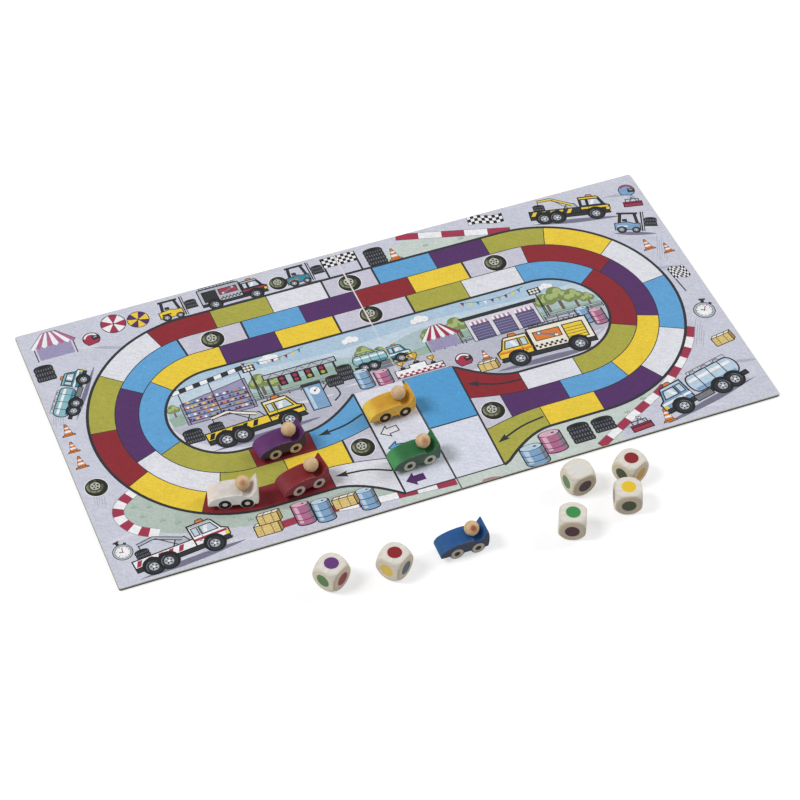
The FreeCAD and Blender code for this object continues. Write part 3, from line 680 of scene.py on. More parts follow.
def trophy(height):
    """Two-handled cup on a dark foot."""
    side = curve([(0.30, 1), (0.28, 0.7), (0.06, 0.45), (0.05, 0.25), (0.2, 0.16)], 5) * height
    handle = curve([(0.3, 0.92), (0.48, 0.78), (0.2, 0.6)], 5) * height
    shapes = stroke(handle, 0.7, "gold") + stroke(handle * (-1, 1), 0.7, "gold")
    shapes += edged(np.vstack([side, side[::-1] * (-1, 1)]), "gold", 0.35)
    glint = np.array([(-0.2, 0.95), (-0.1, 0.95), (-0.06, 0.6), (-0.13, 0.68)]) * height
    return shapes + [polygon(glint, "cream")] + edged(taper(0.24, 0.2, 0, 0.16) * height, "charcoal", 0.3)


def wheel(x, y, radius):
    """Road wheel from its side: tyre, pale rim with five slots and a cap."""
    shapes = [disc(0, 0, 1.0, "black", 22), disc(0, 0, 0.87, "charcoal", 20)]
    shapes += [disc(-0.03, 0.03, 0.56, "black", 18), disc(-0.03, 0.03, 0.5, "silver", 18)]
    for turn in range(0, 360, 72):
        shapes += moved([block(0.29, 0, 0.26, 0.13, "charcoal")], -0.03, 0.03, turn + 18)
    shapes += [disc(-0.03, 0.03, 0.14, "bare", 8)]
    shapes += stroke(circle_points((0, 0), 0.78, np.radians(np.linspace(100, 200, 8))), 0.07, "grey")
    return moved(shapes, x, y, 0, radius)


def ground_shadow(width):
    """Dark flat patch under a vehicle."""
    half = width / 2
    border = [(-half, -1.2), (0, -3.6), (half + 4, -1.6), (0, 1.0), (-half, -1.2)]
    return [polygon(curve(border, 6), "shadow")]


def cab(ink, light, stripe):
    """Lorry's cab facing +X, from x = 9 to 32, with windows, a door line, lamps and a beacon."""
    body = [(9, 4.5), (31.5, 4.5), (32, 12.5), (28.5, 14.5), (25, 22.8), (23.6, 24), (9, 24)]
    shapes = edged(body, ink, 0.8) + [polygon([(9.6, 22), (24.6, 22), (24.2, 23.4), (9.6, 23.4)], light)]
    shapes += edged([(16, 14.6), (26.4, 14.6), (23.8, 21.2), (16, 21.2)], "sky")
    shapes += [polygon([(17, 15.2), (19.5, 15.2), (21.6, 20.6), (19.1, 20.6)], "bare")]
    shapes += panel(10.6, 14.6, 14.4, 21.2, "sky", 0.5) + [block(20, 11.6, 22, 1.9, stripe)]
    shapes += [block(30.2, 9.0, 2.6, 2.6, "yellow"), block(31.2, 6.2, 2.4, 2.0, "silver")]
    shapes += stroke([(15.3, 5), (15.3, 22)], 0.4, "black") + stroke([(12, 10), (14, 10)], 0.5, "black")
    return shapes + edged([(15, 24), (21, 24), (20, 26.4), (16, 26.4)], "orange", 0.45)


def chassis(wheels=(-21, -11, 20)):
    """Long frame under a lorry with its wheels."""
    shapes = panel(-32, 3.8, 31, 7.2, "charcoal")
    for x in wheels:
        shapes += [disc(x, 4.9, 7.3, "black", 20)] + wheel(x, 4.2, 6.2)
    return shapes


def tow_truck(ink, light, stripe):
    """Recovery lorry: striped flat bed and a hoist that carries two tyres."""
    shapes = ground_shadow(68) + cab(ink, light, stripe) + panel(-32, 7, 9, 13.4, ink, 0.7)
    for x in (-31, -24, -17, -10, -3):
        shapes.append(polygon([(x, 8), (x + 3, 8), (x + 5.4, 12.5), (x + 2.4, 12.5)], stripe))
    shapes += edged([(-4, 13.4), (7, 13.4), (5, 18), (-1, 18)], "silver")
    for width, line in ((3.0, "black"), (1.6, light)):
        shapes += stroke([(3, 17), (-13, 25.5), (-24, 24)], width, line)
    shapes += stroke([(-1, 14), (-12, 24.6)], 0.7, "charcoal")
    shapes += stroke([(-23.4, 24), (-23.4, 20)], 0.7, "black")
    return shapes + moved(tyre_roll(9, 5.4, 2), -23.4, 16.6) + chassis()


def tank_truck(ink):
    """Tanker: round-ended tank in the ink's light form, walkway with hatches, and a hose locker."""
    light = f"{ink}_light"
    ends = np.radians(np.linspace(90, 270, 8))
    left = np.stack([-26 + 5 * np.cos(ends), 15.6 + 7.4 * np.sin(ends)], -1)
    right = np.stack([3 - 4 * np.cos(ends), 15.6 - 7.4 * np.sin(ends)], -1)
    shapes = ground_shadow(68) + cab(ink, light, "bare") + edged(np.vstack([left, right]), light, 0.8)
    shapes += [block(-11.5, 18.6, 33, 2.4, "bare"), block(-11.5, 10.4, 32, 2.6, ink)]
    for x in (-21, -11.5, -2):
        shapes += stroke([(x, 8.4), (x, 22.8)], 0.7, "charcoal")
        shapes += edged(taper(2.2, 1.6, 23, 25) + (x, 0), "silver", 0.4)
    shapes += stroke([(-28, 25.8), (2, 25.8)], 0.45, "black")
    shapes += posts((-28, -18, -8, 2), 23, 25.8, 0.4, "black")
    return shapes + chassis() + panel(-3, 2.2, 10, 7, "grey", 0.5)


def spanner(length):
    """Open-ended spanner."""
    end = length * 0.43
    shapes = [block(0, 0, length * 0.8, length * 0.13, "grey"), disc(-end, 0, length * 0.15, "grey", 12)]
    shapes += [disc(end, 0, length * 0.15, "grey", 12),
               block(-length / 2, 0, length * 0.16, length * 0.12, "bare")]
    return shapes + [disc(end, 0, length * 0.07, "bare", 8)]


def box_van(ink, light, stripe):
    """Workshop van: box with a roller shutter, a spanner sign, a ladder on top and a chequered band."""
    shapes = ground_shadow(68) + cab(ink, light, stripe)
    shapes += panel(-32, 6.5, 8, 26.5, light, 0.8) + panel(-28.5, 9.5, -15, 23, ink)
    shapes += [block(-21.75, y, 13, 0.45, "charcoal") for y in (12, 14.5, 17, 19.5)]
    shapes += [block(-12.4 + 1.7 * i, 9.3 + 1.7 * (i % 2), 1.7, 1.7, "black") for i in range(12)]
    shapes += panel(-12.5, 15, 5, 22.5, stripe, 0.5) + moved(spanner(12), -3.6, 18.8, 24)
    for rung_end in (29, 27.4):
        shapes += stroke([(-30, rung_end), (6, rung_end)], 0.6, "charcoal")
    shapes += [block(x, 28.2, 0.7, 1.8, "charcoal") for x in np.arange(-29, 6, 3.5)]
    return shapes + chassis(wheels=(-20, 20))


def loader(ink, light):
    """Fork lift with a mast, raised forks and a pile of tyres on them."""
    shapes = ground_shadow(36)
    shapes += edged([(-15, 3.5), (8, 3.5), (8, 12), (2, 12), (-3, 14), (-15, 12)], ink, 0.7)
    shapes += edged([(-12, 12.6), (-9.4, 12.6), (-8, 24), (-10.6, 24)], "charcoal", 0.4)
    shapes += edged([(4.4, 12), (7, 12), (5, 24), (2.6, 24)], "charcoal", 0.4)
    shapes += panel(-12, 24, 6.4, 26, "charcoal", 0.4)
    shapes += [block(-5.6, 16, 4.6, 3.4, "charcoal"), block(-8, 8.2, 9, 1.6, light)]
    shapes += posts([9.6], 1.5, 27, 1.3, "black") + posts([11.6], 1.5, 27, 0.9)
    shapes += stroke([(11, 8.6), (24, 8.6)], 1.3, "black") + moved(tyre_roll(11, 9, 2), 17.8, 13.8)
    return shapes + wheel(-9, 3.8, 4.6) + wheel(4, 3.4, 4.0)


def stopwatch(radius):
    """Stopwatch with a pusher, a ring of marks and two hands."""
    shapes = [block(0, 1.22, 0.34, 0.4, "charcoal"), block(0, 1.42, 0.62, 0.2, "charcoal")]
    shapes += moved([block(0, 1.12, 0.3, 0.24, "charcoal")], 0, 0, -38)
    shapes += [disc(0, 0, 1.04, "black", 26), disc(0, 0, 0.96, "silver", 26)]
    shapes += [disc(0, 0, 0.8, "black", 24), disc(0, 0, 0.75, "bare", 24)]
    for turn in range(0, 360, 30):
        shapes += moved([block(0.64, 0, 0.13, 0.05, "black")], 0, 0, turn)
    shapes += stroke([(0, 0), (0.18, 0.56)], 0.09, "kerb_red")
    shapes += stroke([(0, 0), (-0.34, 0.14)], 0.09, "black")
    return moved(shapes + [disc(0, 0, 0.08, "black", 8)], 0, 0, 0, radius)


def bale(width):
    """Straw bale with two cords."""
    w, h = width / 2, width * 0.28
    shapes = panel(-w, -h, w, h, "straw", 0.5)
    shapes += edged([(-w, h), (w, h), (w + 2, h + 1.8), (-w + 2, h + 1.8)], "cream", 0.4)
    shapes += edged([(w, -h), (w + 2, -h + 1.8), (w + 2, h + 1.8), (w, h)], "straw_dark", 0.4)
    for x in (-0.4 * w, 0.4 * w):
        shapes += stroke([(x, -h), (x, h), (x + 2, h + 1.8)], 0.5, "bark")
    for i, y in enumerate((-0.55 * h, 0.0, 0.5 * h)):
        for start, end in ((-0.9 * w + i, -0.5 * w + i), (0.5 * w - i, 0.85 * w - i)):
            shapes += stroke([(start, y), (end, y + 0.3)], 0.3, "straw_dark")
    return shapes


def floodlight(height):
    """Lamp mast with a frame of six lamps."""
    shapes = [leg for foot in (-0.8, 0.8) for leg in stroke([(foot, 0), (0, height)], 0.8, "charcoal")]
    for level in np.arange(0.15, 0.9, 0.15):
        w = 0.8 * (1 - level)
        shapes += stroke([(-w, level * height), (w, level * height + 1)], 0.35, "charcoal")
    shapes += panel(-4, height, 4, height + 5, "charcoal", 0.4)
    return shapes + [disc(x, height + y, 0.95, "cream", 9) for x in (-2.2, 0, 2.2) for y in (1.4, 3.7)]


def light_gantry(width):
    """Starting lights on a beam over two posts."""
    w = width / 2
    shapes = posts([-w, w], 0, 18, 1.3) + panel(-w - 2, 15, w + 2, 18.5, "silver", 0.5)
    shapes += stroke([(-w + i * width / 10, 15 + 3.5 * (i % 2)) for i in range(11)], 0.35, "charcoal")
    for i in range(4):
        x = -w * 0.6 + i * w * 0.4
        shapes += panel(x - 2, 8, x + 2, 15, "black", 0.4)
        shapes += [disc(x, 13, 1.3, "kerb_red", 10), disc(x, 9.8, 1.3, ("kerb_red", "green")[i > 1], 10)]
    return shapes


def toolbox():
    """Open toolbox with a handle and two spanners."""
    shapes = moved(spanner(9), -1, 7, 64) + moved(spanner(8), 3, 6.5, 112)
    shapes += panel(-7, 0, 7, 5, "kerb_red") + [block(0, 3.6, 13, 0.8, "black")]
    return shapes + stroke([(-5, 5), (-5, 8), (5, 8), (5, 5)], 0.8, "charcoal")


def cloud(width):
    """Rounded cloud."""
    r = width / 5
    puffs = ((-1.5, 0, 0.95), (0, 0.5, 1.3), (1.4, 0.1, 1.05))
    return discs(r, "silver", 14, puffs) + [disc(x * r - 0.3, y * r + 0.5, s * r * 0.93, "bare", 14)
                                            for x, y, s in puffs]


def speed_lines(length, count):
    """A few parallel strokes of changing length."""
    shapes = []
    for i in range(count):
        start = -length / 2 + (i * 37 % 11) * length / 40
        end = start + length * (0.55 + (i * 29 % 7) / 16)
        shapes += stroke([(start, i * 1.5), (end, i * 1.5 + 0.2)], 0.35, "road_shade")
    return shapes


def tree(radius):
    """Round leafy tree: trunk and overlapping tufts."""
    trunk = block(0, -1.1 * radius, 0.3 * radius, 1.1 * radius, "bark")
    dark = ((-0.5, -0.1, 0.62), (0.5, -0.1, 0.62), (0, 0.35, 0.72))
    light = ((-0.55, 0.05, 0.34), (0.25, 0.5, 0.36), (0.6, 0.05, 0.26), (-0.1, 0.1, 0.3))
    return [trunk, *discs(radius, "olive", 14, dark), *discs(radius, "leaf", 11, light)]


def grandstand(width, height, seed):
    """Covered stand: five stepped rows of coloured dots under a striped roof on posts."""
    chance = np.random.default_rng(seed)
    shapes = edged([(0, 0), (width, 0), (width, height * 0.72), (0, height * 0.5)], "mauve", 0.4)
    names = ("red", "yellow", "bare", "teal", "purple", "green", "orange", "charcoal", "steel")
    for row in range(5):
        level = height * (0.1 + 0.1 * row)
        shapes.append(block(width / 2, level - height * 0.035, width * 0.96, height * 0.02, "charcoal"))
        for x in np.arange(0.05, 0.97, 0.055):
            spot = x * width + chance.uniform(-0.6, 0.6)
            shapes.append(disc(spot, level + chance.uniform(-0.3, 0.5), 0.95, names[chance.integers(9)], 7))
    shapes += posts([0.04 * width, 0.5 * width, 0.96 * width], 0, height * 0.9, 0.7)
    eaves = np.array([(-0.04, 0.74), (1.04, 0.92)]) * (width, height)
    rise = (0, 0.1 * height)
    for i in range(10):
        low = eaves[0] + np.array([[i], [i + 1]]) / 10 * (eaves[1] - eaves[0])
        shapes.append(polygon(np.vstack([low, low[::-1] + rise]), "charcoal" if i % 2 else "bare"))
    return shapes + stroke(np.vstack([eaves, eaves[::-1] + rise]), 0.35, "black", closed=True)


def bunting(start, end, sag, count):
    """Small pennants of changing ink hung along a sagging line."""
    t = np.linspace(0, 1, count * 2 + 1)
    line = np.array(start, float) + t[:, None] * (np.array(end, float) - start)
    line[:, 1] -= sag * 4 * t * (1 - t)
    inks = ("red", "yellow", "teal", "bare", "purple", "green")
    shapes = [polygon([a, b, (a + b) / 2 - (0, 3.4)], inks[i % 6])
              for i, (a, b) in enumerate(zip(line[::2], line[1::2]))]
    return shapes + stroke(line, 0.3, "charcoal")


def podium():
    """Three steps of a winners' stand with a chequered front."""
    shapes = edged([(-16, 0), (16, 0), (16, 5), (5.5, 5), (5.5, 9), (-5.5, 9), (-5.5, 6.5), (-16, 6.5)],
                   "bare", 0.5)
    return shapes + [block(-15 + 2 * i, 1 + 1.6 * (i % 2), 2, 1.6, "kerb_red") for i in range(16)]


def pit_building():
    """Garage with three roller doors, striped awnings and a flat roof, 62 long."""
    shapes = panel(0, 0, 62, 25, "road_light", 0.5)
    shapes += edged([(-2, 25), (64, 25), (66, 28.5), (-4, 28.5)], "charcoal", 0.4)
    for x in (3, 23, 43):
        shapes += panel(x, 0, x + 16, 18, "mauve_dark", 0.5)
        shapes += [block(x + 8, y, 15.4, 0.5, "mauve") for y in np.arange(3, 18, 3)]
        for i in range(8):
            stripe = taper(1, 0.6, 18, 21.8) + (x + 2 * i + 1, 0)
            shapes.append(polygon(stripe, "pink" if i % 2 else "bare"))
    return shapes


def fuel_pump():
    """Blue pump with a dial and a hose."""
    shapes = panel(-5.5, 0, 5.5, 20, "steel", 0.5) + [block(-3.6, 10, 2, 18, "steel_light")]
    shapes += [disc(0.6, 15, 3.2, "bare", 14), disc(0.6, 15, 0.7, "black", 6)]
    shapes += stroke([(0.6, 15), (2.6, 16.6)], 0.4, "black")
    shapes += stroke(curve([(5.5, 14), (11, 18), (14, 8), (9, 3)], 8), 1.0, "charcoal")
    return shapes + [block(0, 21, 12.4, 2.2, "charcoal")]


def rail(start, end, count):
    """Barrier of two rails on posts, from one end to the other."""
    t = np.linspace(0, 1, count)[:, None]
    feet = np.array(start, float) + t * (np.array(end, float) - start)
    shapes = [block(x, y + 2.2, 0.9, 4.6, "charcoal") for x, y in feet]
    for height, width, ink in ((1.8, 1.3, "grey"), (3.8, 1.7, "charcoal"), (3.8, 1.0, "silver")):
        shapes += stroke(feet[[0, -1]] + (0, height), width, ink)
    return shapes


def block_arrow(ink, fill):
    """Short thick arrow that points along -X."""
    points = [(-5.8, 0), (-0.6, 4.6), (-0.6, 2.3), (5.8, 2.3), (5.8, -2.3), (-0.6, -2.3), (-0.6, -4.6)]
    return [polygon(points, fill), *stroke(points, 0.7, ink, closed=True)]


def lane_arrow(points):
    """Thin curved arrow along a lane, its head at the last point."""
    line = curve(points, 10)
    tip = line[-1]
    ahead = (tip - line[-4]) / np.linalg.norm(tip - line[-4])
    side = np.array([-ahead[1], ahead[0]])
    head = [tip + ahead * 1.5, tip - ahead * 6.6 + side * 2.5,
            tip - ahead * 5.6, tip - ahead * 6.6 - side * 2.5]
    shaft = np.vstack([line[np.linalg.norm(line - tip, axis=1) > 6.4], [tip - ahead * 5.2]])
    return stroke(shaft, 1.35, "charcoal") + [polygon(head, "charcoal")]


def draw_ground():
    """Pale road round the track, with grass, worn streaks, tyre tracks and kerbs."""
    shapes = [block(0, 0, 440, 230, "road")]
    chance = np.random.default_rng(11)
    for _ in range(60):
        x, y = chance.uniform(-208, 208), chance.uniform(-106, 106)
        length, turn = chance.uniform(12, 46), chance.uniform(-24, 10)
        ink = ("road_light", "road_light", "road_shade_soft")[chance.integers(3)]
        shapes += moved(streak(length, 1.4, 1.2, ink), x, y, turn)
    for x, y, turn in ((-206, 36, 74), (-202, -34, 80), (208, 36, 66), (196, -44, 60), (-150, -104, 8),
                       (120, -106, 4)):
        shapes += moved(speed_lines(26, 5), x, y, turn)
    left_verge = [(-158, -40), (-184, -42), (-195, -50), (-197, -60), (-190, -71), (-170, -82), (-138, -90),
                  (-96, -96), (-34, -98), (-34, -84), (-110, -76), (-140, -56), (-158, -40)]
    near_verge = [(30, -86), (80, -84), (120, -76), (150, -60), (160, -60), (140, -84), (116, -97),
                  (92, -113), (-28, -113), (-28, -100), (30, -97), (30, -86)]
    far_verge = [(18, 91), (54, 105), (90, 96), (122, 88), (80, 86), (18, 91)]
    shapes.append(polygon(curve(left_verge, 8), "grass_deep"))
    for x, y, length, turn in ((-150, -66, 30, -42), (-128, -79, 34, -22), (-100, -86, 36, -12),
                               (-66, -90, 40, -3), (-166, -58, 16, -64)):
        shapes += moved(streak(length, 3.2, 2.8, "grass_worn"), x, y, turn)
    shapes += [polygon(curve(verge, 8), "grass") for verge in (near_verge, far_verge)]
    blades = [(-2, 0), (-1.2, 2.4), (-0.5, 0.2), (0.3, 3), (0.9, 0.2), (1.8, 2), (2, 0)]
    tuft = [polygon(blades, "grass_dark")]
    for x, y in ((-189, -54), (-186, -63), (-180, -57), (-176, -70), (-168, -75), (-157, -79), (-127, -88),
                 (-116, -91), (-74, -93), (104, -96), (120, -90), (134, -83), (60, 94), (84, 92)):
        shapes += moved(tuft, x, y)
    shapes += kerb([(-179, -37), (-187.2, -42.5), (-193.6, -46.4), (-198.3, -51.8), (-199.2, -58.5),
                    (-196.4, -66), (-190.6, -72.4), (-181, -78)], 7.0, 5.6)
    shapes += kerb([(-112, -98), (-84, -97), (-56, -100), (-1, -103.6)], 5.4, 12.2)
    shapes.append(polygon([(11, -112), (14.5, -108.2), (20, -108), (26, -109.6), (24, -112)], "kerb_faded"))
    shapes += kerb([(44, 109), (80, 99), (118, 88)], 6, 14)
    return shapes + kerb([(93, -109), (110, -99.6), (123, -92.6), (137, -85.4), (150, -78.4), (166, -66),
                          (181, -51), (190, -36)], 5.6, 9.4)


def draw_corners():
    """Race-day things round the track: lorries, tents, drums, tyres, helmets, flags and cones."""
    far_side = set_out(
        (tent(30, 24, "pink"), -195, 83), (helmet(5.5, "kerb_red", "bare"), -171, 91, 10),
        (tyre_roll(12, 12, 3), -207, 72), (tank_truck("teal"), -190, 46, 60, 0.66),
        (parasol(8, "kerb_red"), -154, 99, 10), (parasol(7, "yellow", "purple"), -138, 97, 30),
        (loader("yellow", "black"), -114, 89, 0, 0.68),
        (box_van("charcoal", "silver", "kerb_red"), -73, 89, 0, 0.7),
        (tyre_face(-43, 96, 6), 0, 0), (loader("teal", "orange"), -27, 89.5, 0, 0.68),
        (posts([-10, 13], 89, 107, 1.4), 0, 0), (chequered(23, 9, 10, 4, 0.0), -10, 98),
        (tyre_roll(13, 14, 4), 25, 96.5), (cone(11), 37, 89), (chequered(24, 8, 10, 3, 0.12), 94, 102, -10),
        (tow_truck("charcoal", "yellow", "yellow"), 161, 82.5, -12, 0.86))
    right_side = set_out(
        (loader("steel", "bare"), 193, 57, -20, 0.74), (helmet(5.5, "steel", "kerb_red"), 207, 96, -20),
        (toolbox(), 205, 80, -12, 0.9), (cone(10), 197, 38), (cone(9), 208, 31),
        (flag_on_pole(11, 11), 200.5, 6, 6), (stopwatch(7), 205, -26, -16))
    left_side = set_out(
        (cone(10), -208, 16), (cone(9), -209, 2), (cone(10), -208, -12), (tyre_face(-205, -30, 7), 0, 0),
        (stopwatch(6), -205.5, -84, 12), (tow_truck("bare", "silver", "kerb_red"), -171, -103, 6, 0.96))
    near_side_shade_share = set_out(
        (bale(15), -120, -98), (bale(13), -117, -90.5), (drum(11.5, 15, "pink"), -96, -94),
        (drum(11.5, 15, "steel"), -84, -96), (drum(11.5, 14, "steel"), -56, -97),
        (drum(14.5, 14, "pink"), 67, -95), (drum(15.5, 13, "steel"), 52, -101),
        (bale(14), -70, -95), (toolbox(), 124, -106, 4), (tyre_roll(14, 14, 4), 86, -95),
        (tyre_roll(14, 10, 3), 102, -93.6), (mirrored(tank_truck("steel")), 176, -97, 13),
        (cone(11), 142, -106), (bale(13), 204, -54, 8))
    return far_side + right_side + left_side + near_side_shade_share


def draw_infield():
    """Paddock inside the track: sky, hills, tarmac, a stand, garages, lights and yellow vehicles."""
    edge = lane_line(3, np.linspace(0, 4, 120, endpoint=False))
    shapes = [(edge, "road_light"), (edge[edge[:, 1] > 3], "sky")]
    high = curve([(-150, 24), (-90, 28), (-30, 25), (40, 29), (100, 26), (150, 28)], 6)
    shapes.append(polygon(np.vstack([high, [(150, 39), (-150, 39)]]), "sky_high"))
    for x, y, width in ((-72, 33, 14), (-18, 30, 12), (30, 31, 13), (118, 30, 10)):
        shapes += moved(cloud(width), x, y)
    far = curve([(-146, 12), (-118, 20), (-84, 14), (-50, 23), (-12, 15), (30, 24), (72, 16), (112, 24),
                 (146, 12)], 6)
    near = curve([(-147, 7), (-120, 12), (-80, 9), (-40, 14), (10, 8), (60, 13), (110, 10), (146, 7)], 6)
    shapes.append(polygon(np.vstack([far, [(144, 0), (-146, 0)]]), "hill_far"))
    shapes.append(polygon(np.vstack([near, [(144, -3), (-146, -3)]]), "hill"))
    for x, y, radius in ((-142, 11, 4), (-84, 12, 7), (-74, 10, 5.6), (-14, 13, 6), (-4, 11, 4.6),
                         (50, 14, 7), (30, 14, 5), (112, 14, 6.6), (121, 15, 8), (131, 12, 6.6),
                         (139, 9, 4.6)):
        shapes += moved(tree(radius), x, y + radius * 0.7)
    tarmac = curve([(-148, -1), (-90, 2), (-20, 1), (60, 3), (147, 0), (128, -24), (80, -33), (0, -33),
                    (-100, -33), (-136, -18), (-148, -1)], 10)
    shapes.append(polygon(tarmac, "tarmac"))
    for x, y, turn in ((-110, -14, 3), (-60, -9, -2), (90, -12, 4), (40, -22, -3), (-20, -6, 1),
                       (120, -20, 8)):
        shapes += moved(streak(34, 1.3, 1.3, "road_light"), x, y, turn)
    for x, y in ((-134, -8), (-84, -30), (12, -8), (66, -30), (132, -16), (-58, -24)):
        shapes += moved(speed_lines(16, 4), x, y)
    shapes += bunting((-90, 36.4), (-48, 36.4), 3.4, 9) + bunting((60, 36.6), (104, 36), 3.6, 9)
    shapes += rail((-92, 1), (-32, 1), 9) + rail((28, 2), (58, 2), 5) + rail((106, 2), (146, 1), 6)
    return shapes + set_out(
        (grandstand(45, 36, 5), -137, -2), (floodlight(25), -87, 3), (floodlight(22), 109, 5),
        (light_gantry(38), -57, 0, 0, 1.15), (pit_building(), 56, 1, 0, 0.78),
        (tank_truck("teal"), -5, 2, 0, 0.6), (tent(26, 22, "kerb_red"), 37, 2),
        (tyre_roll(10, 12, 3), -31, 5), (tyre_roll(10, 8, 2), -40, 1), (podium(), 14, -12),
        (trophy(9), 14, -3), (trophy(6.5), 4, -5), (trophy(6.5), 24, -6.6),
        (drum(10, 14, "steel"), -22, -4), (drum(10, 11, "pink"), -10, -7),
        (tyre_roll(12, 10, 3), -137, -12), (tow_truck("yellow", "cream", "black"), -97, -25, 3, 1.02),
        (fuel_pump(), -55, -18, 0, 1.05), (drum(9, 13, "steel"), 131, -2),
        (drum(9, 12, "pink"), 139, -6), (helmet(5.5, "kerb_red", "bare"), 43, -11, 6),
        (bale(12), 55, -22), (cone(8), 57, -16),
        (mirrored(box_van("yellow", "cream", "orange")), 97, -28, -2, 1.02))


def draw_tyre_spaces():
    """Tyres on the grey spaces, and the thick bars that close those spaces."""
    shapes = []
    for x, y in ((0.5, 79.6), (-99.2, 63.0), (96.4, 62.9), (2.9, 47.7), (-43.6, -57.5), (42.9, -58.0)):
        shapes += tyre_face(x, y, 7.5)
    for line, section, value in (
            (0, "top", -16.6), (0, "top", 18.4), (1, "left", 97.5), (1, "top", -77.6),
            (1, "top", 75.8), (2, "top", -20.6), (2, "top", 29.8), (1, "bottom", -53.4)):
        shapes += stroke(across_lane(line, along_track(section, value)), 1.4, "charcoal")
    return shapes


def draw_start_block():
    """Between the ends of the lanes: a white column of arrows, and a blue space over a white one."""
    shapes = [block(-16.5, -57.6, 33.2, 87.6, "start_white"),
              polygon([(0, -58), (32.9, -58), (31.8, -101.4), (0, -101.4)], "start_white"),
              polygon([(0, -13.7), (34, -13.7), (32.9, -58), (0, -58)], "blue_start")]
    for start, end, width, ink in (
            ((-33.1, -13.8), (-33.1, -101.6), 1.25, "charcoal"),
            ((-0.1, -13.8), (-0.1, -101.6), 1.25, "charcoal"),
            ((34, -13.8), (31.8, -101.6), 1.25, "charcoal"), ((0, -58), (32.9, -58), 1, "charcoal"),
            ((0, -13.6), (34, -13.6), 0.5, "grey"), ((-33.1, -101.4), (31.8, -101.4), 0.9, "charcoal"),
            ((0, -101), (0, -112), 0.8, "charcoal")):
        shapes += stroke([start, end], width, ink)
    return shapes + set_out(
        (block_arrow("black", "yellow"), -23.6, -36.6, 4), (block_arrow("black", "white"), -23.6, -50.6, 6),
        (block_arrow("black", "blue"), -23.6, -64.8, -9), (block_arrow("black", "green"), -23.6, -78.8, 2),
        (block_arrow("purple", "purple"), -23.2, -92.8, 2))


def draw_track():
    """The whole track: spaces, tyres, lane lines, start block and the arrows out of and into it."""
    shapes = draw_lanes() + draw_tyre_spaces()
    round_trip = np.linspace(along_track("bottom", LANE_START), along_track("bottom", LANE_END), 190)
    for line, width in enumerate((1.9, 0.6, 0.6, 1.8)):
        shapes += stroke(lane_line(line, round_trip), width, "charcoal")
    shapes += draw_start_block()
    for points in ([(-33.8, -31.5), (-48, -36.6), (-64.5, -38.6)],
                   [(-33.8, -81.5), (-48, -75.6), (-66.5, -73.6)],
                   [(70, -39.8), (55, -38.2), (37.6, -31.4)], [(70, -73.8), (54, -76.6), (36.4, -83.4)]):
        shapes += lane_arrow(points)
    return shapes


def draw_board():
    """The whole print, from the ground up."""
    return draw_ground() + draw_corners() + draw_infield() + draw_track()


# The printed paper on the board


def covered(outline, spots):
    """Which spots lie inside an outline: an odd number of its edges lies to their right."""
    inside = np.zeros(len(spots), bool)
    x, y = spots.T
    for (ax, ay), (bx, by) in zip(outline, np.roll(outline, -1, axis=0)):
        if ay != by:
            inside ^= ((ay > y) != (by > y)) & (x < (bx - ax) * (y - ay) / (by - ay) + ax)
    return inside


def inks_at(shapes, spots):
    """Ink at each spot: that of the last shape that covers it, found from the last shape to the first."""
    order = np.argsort(spots[:, 0])
    sorted_x = spots[order, 0]
    numbers = np.full(len(spots), -1)
    for number in range(len(shapes) - 1, -1, -1):
        outline = shapes[number][0]
        (left, low), (right, high) = outline.min(axis=0), outline.max(axis=0)
        some = order[slice(*np.searchsorted(sorted_x, (left, right)))]
        some = some[numbers[some] < 0]
        some = some[np.abs(spots[some, 1] - (low + high) / 2) <= (high - low) / 2]
        if len(some):
            numbers[some[covered(outline, spots[some])]] = number
    return [shapes[n][1] for n in numbers]


def paint(shapes, region):
    """Flatten painted shapes inside a region into one sheet of triangles without overlaps.

    Every outline's edges are laid into one Delaunay triangulation; a triangle takes the ink at
    its middle. Triangles outside the region are dropped.
    """
    low, high = region.min(axis=0), region.max(axis=0)
    near = [(outline, ink) for outline, ink in shapes
            if (outline.max(axis=0) > low).all() and (outline.min(axis=0) < high).all()]
    outlines = [region, *(outline for outline, _ in near)]
    edges, first = [], 0
    for outline in outlines:
        count = len(outline)
        edges += [(first + i, first + (i + 1) % count) for i in range(count)]
        first += count
    whole_hull, merge_distance, with_sources = 0, 1e-4, False
    found = delaunay_2d_cdt([Vector(p) for p in np.vstack(outlines)], edges, [],
                            whole_hull, merge_distance, with_sources)
    corners, triangles = np.array([tuple(p) for p in found[0]]), np.array(found[2])
    middles = corners[triangles].mean(axis=1)
    kept = covered(region, middles)
    used, renumbered = np.unique(triangles[kept], return_inverse=True)
    return corners[used], renumbered.reshape(-1, 3), inks_at(near, middles[kept])


# Sizes of the printed paper in millimetres: the board's half length and half width, the heights of
# the face and of the rim on the table, the fold's middle, and half the slit and half the crease.
left_low, left_high, right_low, right_high, crease_low, crease_high = (
    np.round(np.array(corner) / MM, 3)
    for node in ("left_print_sheet", "right_print_sheet", "fold_crease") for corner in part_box(node))
BOARD_HALF = (right_high - left_low)[:2] / 2
PRINT_TOP, PRINT_FOOT = left_high[2], left_low[2]
FOLD_X = (left_low[0] + right_high[0]) / 2
SLIT_HALF = (right_low[0] - left_high[0]) / 2
CREASE_HALF = (crease_high[0] - crease_low[0]) / 2
PAPER = crease_high[2] - crease_low[2]
# Radius of the board's corners, rounding of the print's edge, rim that the lining leaves bare, and
# how far the print is turned in underneath.
CORNER = 1.5
EDGE_ROUNDING = 0.3
BARE_RIM = 3
TURN_IN = 12


